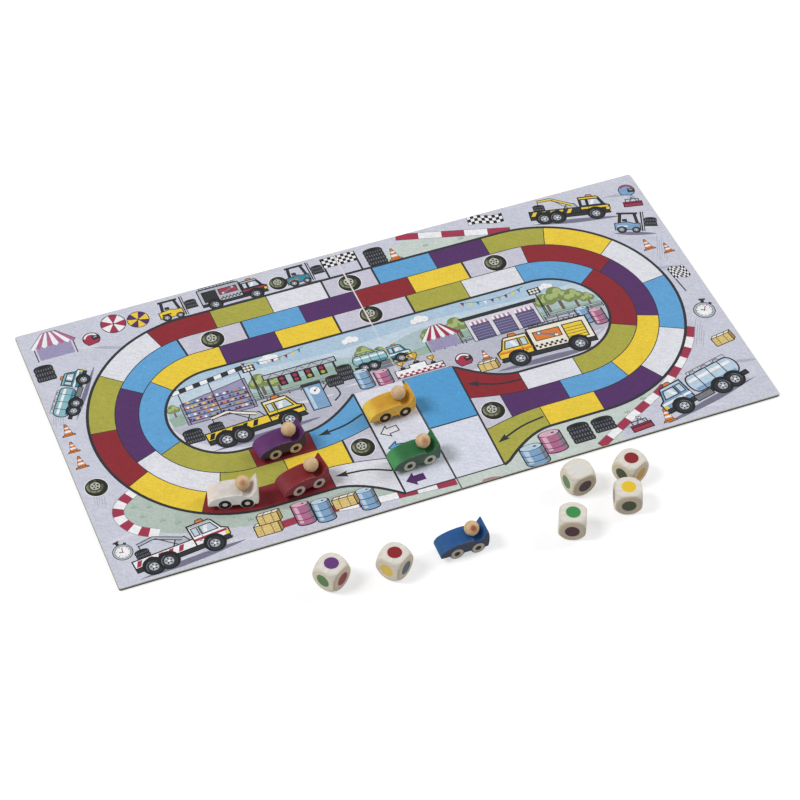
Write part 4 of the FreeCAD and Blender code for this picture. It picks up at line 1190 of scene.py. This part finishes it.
def half_region(side):
    """Top of one half inside its rounded edge, with its two outer corners rounded."""
    corner, radius = BOARD_HALF - CORNER, CORNER - EDGE_ROUNDING
    upper = circle_points(corner, radius, np.radians(np.linspace(0, 90, 6)))
    fold = [(CREASE_HALF, corner[1] + radius), (CREASE_HALF, -corner[1] - radius)]
    return np.vstack([upper[::-1] * (1, -1), upper, fold]) * (-1 if side == "left" else 1, 1)


def border_loop(triangles):
    """Corner numbers round the border of a sheet, in order, the inside on the left."""
    edges = {(int(t[i]), int(t[(i + 1) % 3])) for t in triangles for i in range(3)}
    following = {a: b for a, b in edges if (b, a) not in edges}
    loop = [next(iter(following))]
    while following[loop[-1]] != loop[0]:
        loop.append(following[loop[-1]])
    return loop


def plate(shapes, side):
    """Top of one half as a closed sheet: the painted face, a rounded outer edge and a flat back.

    Each border point that lies on the rounded outline goes out and down over a quarter circle;
    points on the fold go straight down.
    """
    corners, triangles, inks = paint(shapes, half_region(side))
    loop = border_loop(triangles)
    rim, inner = corners[loop], BOARD_HALF - CORNER
    out = rim - np.clip(rim, -inner, inner)
    reach = np.linalg.norm(out, axis=1, keepdims=True)
    out = np.where(reach > CORNER - EDGE_ROUNDING - 1e-3, out / np.maximum(reach, 1e-9), 0)
    rings = [np.column_stack([corners, np.full(len(corners), PRINT_TOP)])]
    for angle in np.radians([30, 60, 90]):
        height = np.full(len(rim), PRINT_TOP - PAPER * (1 - math.cos(angle)))
        rings.append(np.column_stack([rim + out * EDGE_ROUNDING * math.sin(angle), height]))
    numbers = np.vstack([loop, len(corners) + np.arange(3 * len(loop)).reshape(3, -1)])
    upper, lower = numbers[:-1], numbers[1:]
    walls = np.stack([upper, lower, np.roll(lower, -1, axis=1), np.roll(upper, -1, axis=1)], -1)
    faces = [*triangles.tolist(), *walls.reshape(-1, 4).tolist(), numbers[-1][::-1].tolist()]
    return np.vstack(rings), faces, inks + ["wrap"] * (len(faces) - len(triangles)), len(triangles)


def wrapped_edge(side):
    """The print's way down the three outer edges and under them, as one closed bent strip.

    The strip's section is drawn as pairs of inset and height; at each station round the edge it
    is set out from the outline, and beyond the corner's radius it is mitred.
    """
    wall, foot = PRINT_TOP - PAPER, PRINT_FOOT
    inset, height = np.array([
        (0, wall), (0, foot + 0.25), (0.07, foot + 0.08), (0.25, foot), (BARE_RIM, foot), (TURN_IN, foot),
        (TURN_IN, foot + PAPER), (PAPER, foot + PAPER), (PAPER, wall)]).T
    far_x, far_y = BOARD_HALF - CORNER
    quarter = np.linspace(90, 180, 6)
    x = np.r_[-SLIT_HALF, np.full(12, -far_x), -SLIT_HALF][:, None]
    y = np.repeat([far_y, -far_y], 7)[:, None]
    angle = np.radians(np.r_[90, quarter, quarter + 90, 270])[:, None]
    mitred = inset > CORNER
    points = np.stack([
        np.where(mitred, np.maximum(x, inset - BOARD_HALF[0]), x + np.cos(angle) * (CORNER - inset)),
        np.where(mitred, np.copysign(BOARD_HALF[1] - inset, y), y + np.sin(angle) * (CORNER - inset)),
        np.broadcast_to(height, (len(x), len(inset)))], -1).reshape(-1, 3)
    return points * ((-1, -1, 1) if side == "right" else 1), tube_faces(len(x), len(inset))


def tidy_shell(piece):
    """Merge doubled corners, drop faces without area and turn every face outwards."""
    shell = bmesh.new()
    shell.from_mesh(piece.data)
    bmesh.ops.remove_doubles(shell, verts=shell.verts, dist=1e-7)
    bmesh.ops.dissolve_degenerate(shell, edges=shell.edges, dist=1e-7)
    bmesh.ops.recalc_face_normals(shell, faces=shell.faces)
    shell.to_mesh(piece.data)
    shell.free()


def store_inks(piece, inks, faces):
    """Keep each face's ink as a colour on its corners."""
    colours = {name: rgba(code) for name, code in INKS.items()}
    corners = np.repeat([colours[name] for name in inks], [len(face) for face in faces], axis=0)
    store(piece, "ink", "FLOAT_COLOR", corners, "CORNER")


def make_print(shapes, side):
    """Printed paper of one half: the painted plate and the wrapped edge, with an ink per face."""
    points, faces, inks, painted = plate(shapes, side)
    edge_points, edge_faces = wrapped_edge(side)
    numbers = np.arange(len(faces) + len(edge_faces))
    smooth = (numbers >= painted) & (numbers < len(faces))
    faces += [[i + len(points) for i in face] for face in edge_faces]
    sheet = new_piece(f"{side}_print", np.vstack([points, edge_points]) + (FOLD_X, 0, 0), faces, smooth)
    store_inks(sheet, inks + ["wrap"] * len(edge_faces), faces)
    tidy_shell(sheet)
    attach(sheet, f"{side}_half")
    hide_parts(f"{side}_print_sheet")
    return sheet


def make_crease(shapes):
    """Strip of print over the slit: a closed grid across the fold, between the halves.

    The section runs over the strip and back under it; every face takes the drawing's ink at its
    middle.
    """
    low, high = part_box("fold_crease")
    columns, rows = 13, 260
    across = np.linspace(low.x, high.x, columns) / MM
    x, y = np.meshgrid(np.r_[across, across[::-1]], np.linspace(low.y, high.y, rows) / MM)
    z = np.broadcast_to(np.repeat([high.z, low.z], columns) / MM, x.shape)
    points = np.stack([x, y, z], -1).reshape(-1, 3)
    middles = points[quads(rows, 2 * columns)].mean(axis=1)[:, :2]
    faces = tube_faces(rows, 2 * columns)
    strip = new_piece("creased_print", points, faces, smooth=False)
    store_inks(strip, inks_at(shapes, middles - (FOLD_X, 0)) + ["wrap"] * 2, faces)
    store(strip, "own_place", "FLOAT_VECTOR", points)
    tidy_shell(strip)
    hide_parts("fold_crease")
    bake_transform(strip)
    return strip


# Shader nodes

TURN = 6.283  # radians in one turn
# Sockets of a Mix node that mixes colours, by number, because other kinds share their names.
SHARE, FIRST, SECOND, MIXED = 0, 6, 7, 2


class Signal:
    """One output of a shader node; adding, subtracting, multiplying or dividing it makes a Math node."""

    def __init__(self, socket):
        self.socket, self.tree = socket, socket.id_data

    def math(self, operation, *others):
        """Result of a Math node on this signal and others or plain numbers."""
        return result(self.tree, "Math", dict(enumerate((self, *others))), operation=operation)

    def __add__(self, other):
        return self.math("ADD", other)

    def __sub__(self, other):
        return self.math("SUBTRACT", other)

    def __mul__(self, other):
        return self.math("MULTIPLY", other)

    def __truediv__(self, other):
        return self.math("DIVIDE", other)


def connect(node, key, value):
    """Link a signal to a node's input, or set the input to a plain value."""
    if isinstance(value, Signal):
        value.tree.links.new(value.socket, node.inputs[key])
    else:
        node.inputs[key].default_value = value


def put(tree, kind, inputs=None, **settings):
    """Add one shader node; inputs are signals or values by an input's name or number."""
    node = tree.nodes.new("ShaderNode" + kind)
    for name, value in settings.items():
        setattr(node, name, value)
    for key, value in (inputs or {}).items():
        connect(node, key, value)
    return node


def result(tree, kind, inputs=None, output=0, **settings):
    """One output of a new shader node."""
    return Signal(put(tree, kind, inputs, **settings).outputs[output])


def feed(node, **inputs):
    """Signals or values for a node's inputs; underscores in their names stand for spaces."""
    for label, value in inputs.items():
        connect(node, label.replace("_", " "), value)


def axes(place):
    """The three coordinates of a place."""
    return [Signal(socket) for socket in put(place.tree, "SeparateXYZ", {"Vector": place}).outputs]


def in_millimetres(place):
    """A place in metres, made a place in millimetres."""
    return result(place.tree, "VectorMath", {"Vector": place, "Scale": 1 / MM}, operation="SCALE")


def distance(vector):
    """Length of a vector."""
    return result(vector.tree, "VectorMath", {"Vector": vector}, "Value", operation="LENGTH")


def mixed(share, first, second):
    """Colour between two colours: the first at a share of 0, the second at 1."""
    return result(share.tree, "Mix", {SHARE: share, FIRST: first, SECOND: second}, MIXED, data_type="RGBA")


def tinted(colour, factor):
    """A colour times another one, channel by channel."""
    return result(colour.tree, "Mix", {SHARE: 1.0, FIRST: colour, SECOND: factor}, MIXED,
                  data_type="RGBA", blend_type="MULTIPLY")


def shaded(colour, shade):
    """A colour made lighter or darker by one factor on all three channels."""
    grey = dict.fromkeys(("Red", "Green", "Blue"), shade)
    return tinted(colour, result(colour.tree, "CombineColor", grey))


def eased(value, start, end, low=0.0, high=1.0):
    """Smooth step of a value from start to end, going from low to high."""
    limits = {"Value": value, "From Min": start, "From Max": end, "To Min": low, "To Max": high}
    return result(value.tree, "MapRange", limits, interpolation_type="SMOOTHSTEP")


def mottle(place, scale, detail, roughness=0.55, stretch=None):
    """Soft noise from 0 to 1, drawn out along each axis whose number in stretch is small."""
    if stretch:
        place = result(place.tree, "Mapping", {"Vector": place, "Scale": stretch})
    return result(place.tree, "TexNoise",
                  {"Vector": place, "Scale": scale, "Detail": detail, "Roughness": roughness})


def bumped(height, strength, depth):
    """Normal from a height; a height of 1 is depth millimetres."""
    return result(height.tree, "Bump", {"Height": height, "Strength": strength, "Distance": depth * MM})


def object_place(tree):
    """Place on the piece in metres."""
    return result(tree, "TexCoord", output="Object")


def stored(tree, name, output):
    """What store() keeps on a piece under a name."""
    return result(tree, "Attribute", output=output, attribute_name=name)


def new_group(name, inputs, outputs):
    """Shader group with named sockets; gives its end node and its inputs."""
    group = bpy.data.node_groups.new(name, "ShaderNodeTree")
    kinds = {"value": "NodeSocketFloat", "colour": "NodeSocketColor", "vector": "NodeSocketVector"}
    for label, kind, default in inputs:
        socket = group.interface.new_socket(name=label, in_out="INPUT", socket_type=kinds[kind])
        if default is not None:
            socket.default_value = default
    for label, kind in outputs:
        group.interface.new_socket(name=label, in_out="OUTPUT", socket_type=kinds[kind])
    start, end = group.nodes.new("NodeGroupInput"), group.nodes.new("NodeGroupOutput")
    return end, *(Signal(start.outputs[label]) for label, _, _ in inputs)


def use(tree, group, **inputs):
    """Place a group in a material; gives its outputs by name."""
    node = put(tree, "Group", node_tree=group)
    feed(node, **inputs)
    return {socket.name: Signal(socket) for socket in node.outputs}


def build_wood_grain():
    """Grain along X, in millimetres: broad rings cut by the plank's face, and fine fibres."""
    end, place, ring_width, contrast = new_group(
        "wood_grain",
        [("Place", "vector", None), ("Ring Width", "value", 2.6), ("Contrast", "value", 0.5)],
        [("Tone", "value"), ("Height", "value")])
    warp = mottle(place, 0.09, 2.0, stretch=(0.35, 1, 1))
    _, y, z = axes(place)
    radius = ((y + 9.0).math("POWER", 2.0) + (z + 14.0).math("POWER", 2.0)).math("SQRT")
    ring = ((radius + warp * 7.0) * TURN / ring_width).math("SINE")
    fibres = mottle(place, 2.4, 4.0, 0.6, (0.06, 1, 1))
    pores = eased(mottle(place, 5.0, 2.0, 0.5, (0.05, 1, 1)), 0.60, 0.72)
    feed(end, Tone=(ring * 0.16 + fibres - 0.5) * contrast + 0.5, Height=fibres - pores * 0.6)
    return end.id_data


def build_linen_paper():
    """Varnished printed paper: linen embossing in two directions, mottled ink and faint scuffs."""
    end, place, ink, wear = new_group(
        "linen_paper",
        [("Place", "vector", None), ("Ink", "colour", (0.8, 0.8, 0.8, 1)), ("Wear", "value", 0.0)],
        [("Colour", "colour"), ("Roughness", "value"), ("Height", "value")])
    place = in_millimetres(place)
    x, y, _ = axes(place)
    wander = mottle(place, 0.6, 2.0)
    ribs = []
    for along, pitch, stretch in ((x, 0.52, (0.2, 1.5, 1)), (y, 0.60, (1.5, 0.2, 1))):
        wave = ((along + wander * 0.7) * (TURN / pitch)).math("SINE")
        ribs.append(wave * mottle(place, 1.3, 2.0, stretch=stretch))
    linen = ribs[0] + ribs[1]
    patch = mottle(place, 0.07, 3.0, 0.6)
    speck = mottle(place, 0.8, 3.0, 0.7)
    slanted = result(place.tree, "Mapping", {"Vector": place, "Rotation": (0, 0, 0.6)})
    hatch = mottle(slanted, 0.9, 3.0, 0.6, (0.16, 1.2, 1))
    inked = shaded(ink, patch * 0.14 + speck * 0.60 + hatch * 0.36 + linen * 0.018 + 0.45)
    scuff = eased(mottle(place, 0.35, 4.0, 0.7), 0.62, 0.78)
    rubbed = (wear * (scuff + 0.5)).math("MINIMUM", 1.0)
    feed(end, Colour=mixed(rubbed, inked, rgba("D9D6CC")), Roughness=speck * 0.16 + 0.36 + scuff * 0.12,
         Height=linen)
    return end.id_data


def build_fibre_board():
    """Pressed fibres: short dark and light fibres, with layers along the upright direction."""
    end, place, base, layers = new_group(
        "pressed_fibres",
        [("Place", "vector", None), ("Base", "colour", (0.4, 0.4, 0.4, 1)), ("Layers", "value", 1.0)],
        [("Colour", "colour"), ("Height", "value")])
    place = in_millimetres(place)
    felt = mottle(place, 1.4, 5.0, 0.7)
    shreds = mottle(place, 2.2, 3.0, 0.6, (0.3, 1, 1))
    height = felt + mottle(place, 3.5, 1.0, 0.5, (0.03, 0.03, 1)) * layers
    coloured = shaded(base, (height + shreds) * 0.3 + 0.62)
    fleck = eased(shreds, 0.66, 0.74)
    feed(end, Colour=mixed(fleck * 0.35, coloured, rgba("5F5A52")), Height=height)
    return end.id_data


WOOD_GRAIN = build_wood_grain()
LINEN_PAPER = build_linen_paper()
PRESSED_FIBRES = build_fibre_board()


def new_material(name):
    """Material with one Principled shader on its output; gives the material, its tree and the shader."""
    material = bpy.data.materials.new(name)
    material.use_nodes = True
    tree = material.node_tree
    tree.nodes.clear()
    shader = put(tree, "BsdfPrincipled")
    put(tree, "OutputMaterial", {"Surface": Signal(shader.outputs["BSDF"])})
    return material, tree, shader


def printed_paper():
    """Printed and varnished paper: the drawing's inks on the face, with painted shade low on the edges below
    it.
    """
    material, tree, shader = new_material("printed_paper")
    place = object_place(tree)
    _, y, z = axes(place)
    # Painted shade: the foot of the edges is darkened towards black, fully on the near side and half as much
    # elsewhere.
    near_side_shade_share = eased(y, -0.1096, -0.1088, 1.0, 0.5)
    painted_edge_shade = eased(z, 0.0011, 0.0016, 1.0, 0.0) * near_side_shade_share
    ink = mixed(painted_edge_shade, stored(tree, "ink", "Color"), rgba("191A17"))
    paper = use(tree, LINEN_PAPER, Place=place, Ink=ink, Wear=0.03)
    feed(shader, Base_Color=paper["Colour"], Roughness=paper["Roughness"],
         Normal=bumped(paper["Height"], 0.25, 0.04), Specular_IOR_Level=0.1)
    return material


def creased_paper():
    """The same paper where it bends: rubbed to the pale board along the fold, less so at the start block."""
    material, tree, shader = new_material("creased_paper")
    place = stored(tree, "own_place", "Vector")
    x, y, _ = axes(place)
    cracks = mottle(place, 0.9, 5.0, 0.7, (5, 0.35, 1))
    ragged = (x - FOLD_X).math("ABSOLUTE") + cracks * 0.24
    bare = eased(ragged, 0.54, 0.66, 1.0, 0.0)
    bare = bare * eased(y, -14.6, -13.8, 0.12, 1.0) * eased(y, 36.0, 42.0, 0.45, 1.0)
    board = mixed(cracks, rgba("D6C8C4"), rgba("F2E8E6"))
    ink = mixed(bare, stored(tree, "ink", "Color"), board)
    paper = use(tree, LINEN_PAPER, Place=object_place(tree), Ink=ink, Wear=0.05)
    feed(shader, Base_Color=paper["Colour"], Roughness=0.62, Specular_IOR_Level=0.1,
         Normal=bumped(cracks, 0.5, 0.08))
    return material


def fibre_material(name, base, layers, roughness, depth):
    """Grey board or lining paper, from pressed fibres."""
    material, tree, shader = new_material(name)
    fibres = use(tree, PRESSED_FIBRES, Place=object_place(tree), Base=rgba(base), Layers=layers)
    feed(shader, Base_Color=fibres["Colour"], Roughness=roughness,
         Normal=bumped(fibres["Height"], 0.5, depth))
    return material


# Stain on top, on the nose with a painted sheen and on the sawn sides with painted light and shade, wheel
# ring, wheel middle, and the radius of the wheel middle in millimetres.
CAR_PAINTS = {
    "yellow": ("CE9C36", "E8C54E", "F6C050", "26211C", "E6D0A0", 1.5),
    "green": ("2E683E", "499156", "516B5B", "D8D2C2", "1E3A28", 1.8),
    "white": ("D5CEC8", "E5D9CD", "F8F7F3", "242424", "F2ECDF", 1.5),
    "red": ("7C262A", "7C333A", "93434A", "DCD2C4", "4A1C20", 1.8),
    "purple": ("5A2F62", "66346E", "4A3E5C", "D9D0BE", "2C1E2E", 1.8),
    "blue": ("28568F", "2C5A8C", "3C4557", "CFC5B0", "23262E", 1.8),
}
# Wheel middles before and behind the car's own middle, their height, the rings' radius and soft edge.
WHEEL_X, WHEEL_Z, WHEEL_RING, RING_SOFT = 6.7, 4.4, 3.85, 0.18


def within(reach, radius):
    """1 inside a radius and 0 outside it, with a soft edge."""
    return eased(reach, radius - RING_SOFT, radius + RING_SOFT, 1.0, 0.0)


def outside(reach, radius):
    """0 inside a radius and 1 outside it, with a soft edge."""
    return eased(reach, radius - RING_SOFT, radius + RING_SOFT)


def car_paint(colour):
    """Satin stain on sawn wood: painted sheen on the nose, painted light and shade on the sides, rubbed thin
    on edges.

    Wheel rings and wheel middles are round masks about the two wheel places on both sides.
    """
    coat, nose_painted_sheen, side_painted_light, ring, hub, hub_radius = CAR_PAINTS[colour]
    material, tree, shader = new_material(f"{colour}_stain")
    place = stored(tree, "own_place", "Vector")
    x, y, z = axes(place)
    grain = use(tree, WOOD_GRAIN, Place=place, Ring_Width=3.1, Contrast=0.5)
    flank = y.math("ABSOLUTE")
    blotch = eased(mottle(place, 0.16, 3.0, 0.6), 0.38, 0.66)
    # Painted sheen: the nose is lightened towards the front. Painted light and shade: the sawn sides take
    # their own colour.
    top = mixed(eased(x, -15.8, -9.5, 1.0, 0.0), rgba(coat), rgba(nose_painted_sheen))
    coated = mixed(eased(flank, 5.9, 6.45), top, rgba(side_painted_light))
    coated = mixed(blotch * 0.30, coated, tinted(coated, (1.45, 1.45, 1.45, 1)))
    stained = shaded(coated, grain["Tone"] * 0.30 + 0.85)
    edge = stored(tree, "rubbed_edge", "Fac")
    rub = eased(edge, 0.2, 1.0) * eased(mottle(place, 0.35, 3.0), 0.42, 0.66)
    stained = mixed(rub * 0.22, stained, rgba("CDB79A"))
    side = eased(flank, 6.35, 6.47)
    smear = eased(mottle(place, 0.8, 3.0), 0.2, 0.45, 0.8, 1.0)
    up = z - WHEEL_Z
    reaches = [((x - wheel) * (x - wheel) + up * up).math("SQRT") for wheel in (-WHEEL_X, WHEEL_X)]
    rings = [within(reach, WHEEL_RING) * outside(reach, hub_radius) for reach in reaches]
    hubs = [within(reach, hub_radius) for reach in reaches]
    for (front, back), code in ((rings, ring), (hubs, hub)):
        stained = mixed((front + back) * side * smear, stained, rgba(code))
    feed(shader, Base_Color=stained, Roughness=mottle(place, 0.5, 3.0) * 0.2 + 0.40,
         Normal=bumped(grain["Height"], 0.35, 0.08), Specular_IOR_Level=0.18)
    return material


# How strongly each driver's head shows the brown round on its tilted axis, on the side of the head that
# faces the camera.
HEAD_SPOTS = {"blue": 1.0, "green": 0.6, "white": 0.65, "purple": 0.1, "red": 0.12, "yellow": 0.08}


def turned_wood(colour):
    """Bare turned wood: faint rings about a tilted axis and a brown round where that axis comes out."""
    material, tree, shader = new_material(f"{colour}_driver_wood")
    tilt = (math.radians(-43), 0.0, math.radians(-22))
    turned = result(tree, "Mapping", {"Vector": stored(tree, "own_place", "Vector"), "Rotation": tilt})
    x, y, z = axes(turned)
    across = (x * x + y * y).math("SQRT")
    warp = mottle(turned, 0.5, 3.0)
    rings = ((across + warp) * 5.2).math("SINE")
    fibres = mottle(turned, 2.2, 4.0, 0.6, (1, 1, 0.1))
    wood = mixed(eased(rings * 0.10 + fibres, 0.25, 0.85), rgba("C9A070"), rgba("E6CFA8"))
    spot = eased(across + warp * 0.8, 1.2, 3.4, 1.0, 0.0) * eased(z, 0.0, 1.5)
    wood = mixed(spot * HEAD_SPOTS[colour], wood, rgba("A4532A"))
    feed(shader, Base_Color=wood, Roughness=fibres * 0.2 + 0.42, Normal=bumped(fibres, 0.3, 0.08))
    return material


def die_wood():
    """Pale lacquered wood with painted warm shade on two pairs of flats, and a painted spot on each flat."""
    material, tree, shader = new_material("die_wood")
    place = stored(tree, "own_place", "Vector")
    x, y, _ = axes(place)
    grain = use(tree, WOOD_GRAIN, Place=place, Ring_Width=2.2, Contrast=0.5)
    tone = eased(grain["Tone"], 0.2, 0.85)
    wood = mixed(tone, rgba("DCD5C8"), rgba("EFECE6"))
    # Painted shade: the flats facing ±X, and more those facing ±Y, are made warmer and darker.
    x_flats_painted_shade = eased(x.math("ABSOLUTE"), 7.0, 8.1, 0.0, 0.7)
    y_flats_painted_shade = eased(y.math("ABSOLUTE"), 7.0, 8.1, 0.0, 0.85)
    wood = mixed(x_flats_painted_shade, wood, mixed(tone, rgba("DCD0B2"), rgba("EDE6D2")))
    wood = mixed(y_flats_painted_shade, wood, mixed(tone, rgba("C9B596"), rgba("DCCFB8")))
    plan = result(tree, "UVMap", uv_map="flat_plan")
    far = distance(result(tree, "VectorMath", {0: plan, 1: (0.5, 0.5, 0.0)}, operation="SUBTRACT"))
    spot = eased(far + mottle(place, 0.9, 3.0) * 0.012, 0.264, 0.280, 1.0, 0.0)
    ink = stored(tree, "spot_ink", "Color")
    wood = mixed(eased(far, 0.27, 0.35, 0.08, 0.0), wood, ink)
    feed(shader, Base_Color=mixed(spot, wood, ink), Roughness=eased(spot, 0.0, 1.0, 0.36, 0.28),
         Normal=bumped(grain["Height"] + spot * 0.8, 0.3, 0.06), Specular_IOR_Level=0.14)
    return material


def dress(piece, material):
    """Give a piece or a CAD node its one material."""
    piece.data.materials.clear()
    piece.data.materials.append(material)


# The object

for colour, pose in CAR_POSES.items():
    dress(make_car(colour, pose), car_paint(colour))
    dress(make_driver(colour, pose), turned_wood(colour))

# Spot colours; the last six are copies of the plain ones with painted light and shade in them, darker,
# duller or paler, set flat by flat.
SPOTS = {
    "purple": "683E7C", "green": "409052", "red": "8E2A30", "yellow": "EBC636", "blue": "34567E",
    "white": "E0DFDC", "yellow_lit_copy": "EFCB5C", "yellow_shade_copy": "C89C2C", "green_shade_copy": "5C844E",
    "green_deep_shade_copy": "505840", "blue_shade_copy": "3C5462", "purple_shade_copy": "543A42",
}
# Each die's spots in the order of DIE_SIDES.
DIE_SPOTS = (
    ("purple", "white", "green_shade_copy", "blue", "red", "yellow"),
    ("red", "white", "yellow_lit_copy", "green", "blue_shade_copy", "purple"),
    ("white", "red", "green_shade_copy", "yellow", "purple_shade_copy", "blue"),
    ("red", "blue", "green_deep_shade_copy", "white", "yellow_shade_copy", "purple"),
    ("yellow", "blue", "purple_shade_copy", "white", "green_deep_shade_copy", "red"),
    ("green", "yellow", "white", "red", "purple_shade_copy", "blue"),
)
lacquered = die_wood()
for number, (pose, names) in enumerate(zip(DIE_POSES, DIE_SPOTS), start=1):
    dress(make_die(number, pose, [SPOTS[name] for name in names]), lacquered)

drawing = draw_board()
paper = printed_paper()
for side in ("left", "right"):
    dress(make_print(drawing, side), paper)
dress(make_crease(drawing), creased_paper())

grey_board = fibre_material("grey_board", "8C8880", 1.0, 0.9, 0.2)
lining = fibre_material("lining_paper", "B7BCA6", 0.0, 0.78, 0.05)
for side in ("left", "right"):
    dress(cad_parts[f"{side}_board_core"], grey_board)
    dress(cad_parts[f"{side}_back_lining"], lining)


# Camera, light and floor

CAMERA_PLACE = (-0.42219, -1.02372, 1.15501)
AZIMUTH, ELEVATION, ROLL = (math.radians(a) for a in (-22.625, 46.933, 1.104))
FOCAL_SHARE = 2535.43 / 800
SENSOR = 36


def add_camera():
    """Camera at the photograph's viewpoint: turned to its azimuth and elevation, then rolled."""
    back = Vector((math.sin(AZIMUTH) * math.cos(ELEVATION), -math.cos(AZIMUTH) * math.cos(ELEVATION),
                   math.sin(ELEVATION)))
    right = (-back).cross(Vector((0, 0, 1))).normalized()
    up = right.cross(-back)
    rolled_right = right * math.cos(ROLL) + up * math.sin(ROLL)
    rolled_up = up * math.cos(ROLL) - right * math.sin(ROLL)
    data = bpy.data.cameras.new("viewpoint")
    data.sensor_width = SENSOR
    data.lens = SENSOR * FOCAL_SHARE
    data.clip_start, data.clip_end = 0.05, 50
    camera = bpy.data.objects.new("viewpoint", data)
    bpy.context.scene.collection.objects.link(camera)
    turn = Matrix((rolled_right, rolled_up, back)).transposed().to_4x4()
    camera.matrix_world = Matrix.Translation(CAMERA_PLACE) @ turn
    bpy.context.scene.camera = camera


def seen_directly(tree):
    """1 for camera, glossy and transmission rays, 0 for the rays that light the object."""
    path = put(tree, "LightPath").outputs
    camera, glossy, clear = (Signal(path[f"Is {kind} Ray"]) for kind in ("Camera", "Glossy", "Transmission"))
    return camera.math("MAXIMUM", glossy).math("MAXIMUM", clear)


def add_floor():
    """Large pale floor just below the object; to the camera it has a little light of its own."""
    points = np.array([(-4, -4, 0), (4, -4, 0), (4, 4, 0), (-4, 4, 0)]) / MM - (0, 0, 0.15)
    floor = new_piece("floor", points, [(0, 1, 2, 3)], smooth=False)
    material, tree, shader = new_material("pale_floor")
    glow = eased(distance(object_place(tree)), 0.9, 2.4, 0.55, 1.0)
    feed(shader, Base_Color=(0.58, 0.58, 0.59, 1), Roughness=0.9, Specular_IOR_Level=0.1,
         Emission_Color=(1, 1, 1, 1), Emission_Strength=seen_directly(tree) * glow)
    dress(floor, material)


def add_lamp(name, place, size, power):
    """Square soft lamp that faces the board."""
    data = bpy.data.lights.new(name, "AREA")
    data.size, data.energy = size, power
    lamp = bpy.data.objects.new(name, data)
    lamp.location = place
    lamp.rotation_euler = (-Vector(place)).to_track_quat("-Z", "Y").to_euler()
    bpy.context.scene.collection.objects.link(lamp)


def add_light():
    """White surround, a large soft lamp from the back left and a weaker one from the right."""
    world = bpy.data.worlds.new("studio")
    bpy.context.scene.world = world
    world.use_nodes = True
    tree = world.node_tree
    tree.nodes.clear()
    strength = seen_directly(tree) * 0.66 + 0.34
    surround = result(tree, "Background", {"Color": (1, 1, 1, 1), "Strength": strength})
    put(tree, "OutputWorld", {"Surface": surround})
    add_lamp("key_lamp", (-2.72, 0.48, 3.4), 1.5, 102)
    add_lamp("side_lamp", (2.9, 0.35, 1.75), 1.5, 45)


add_camera()
add_floor()
add_light()
bpy.context.scene.view_settings.view_transform = "Standard"
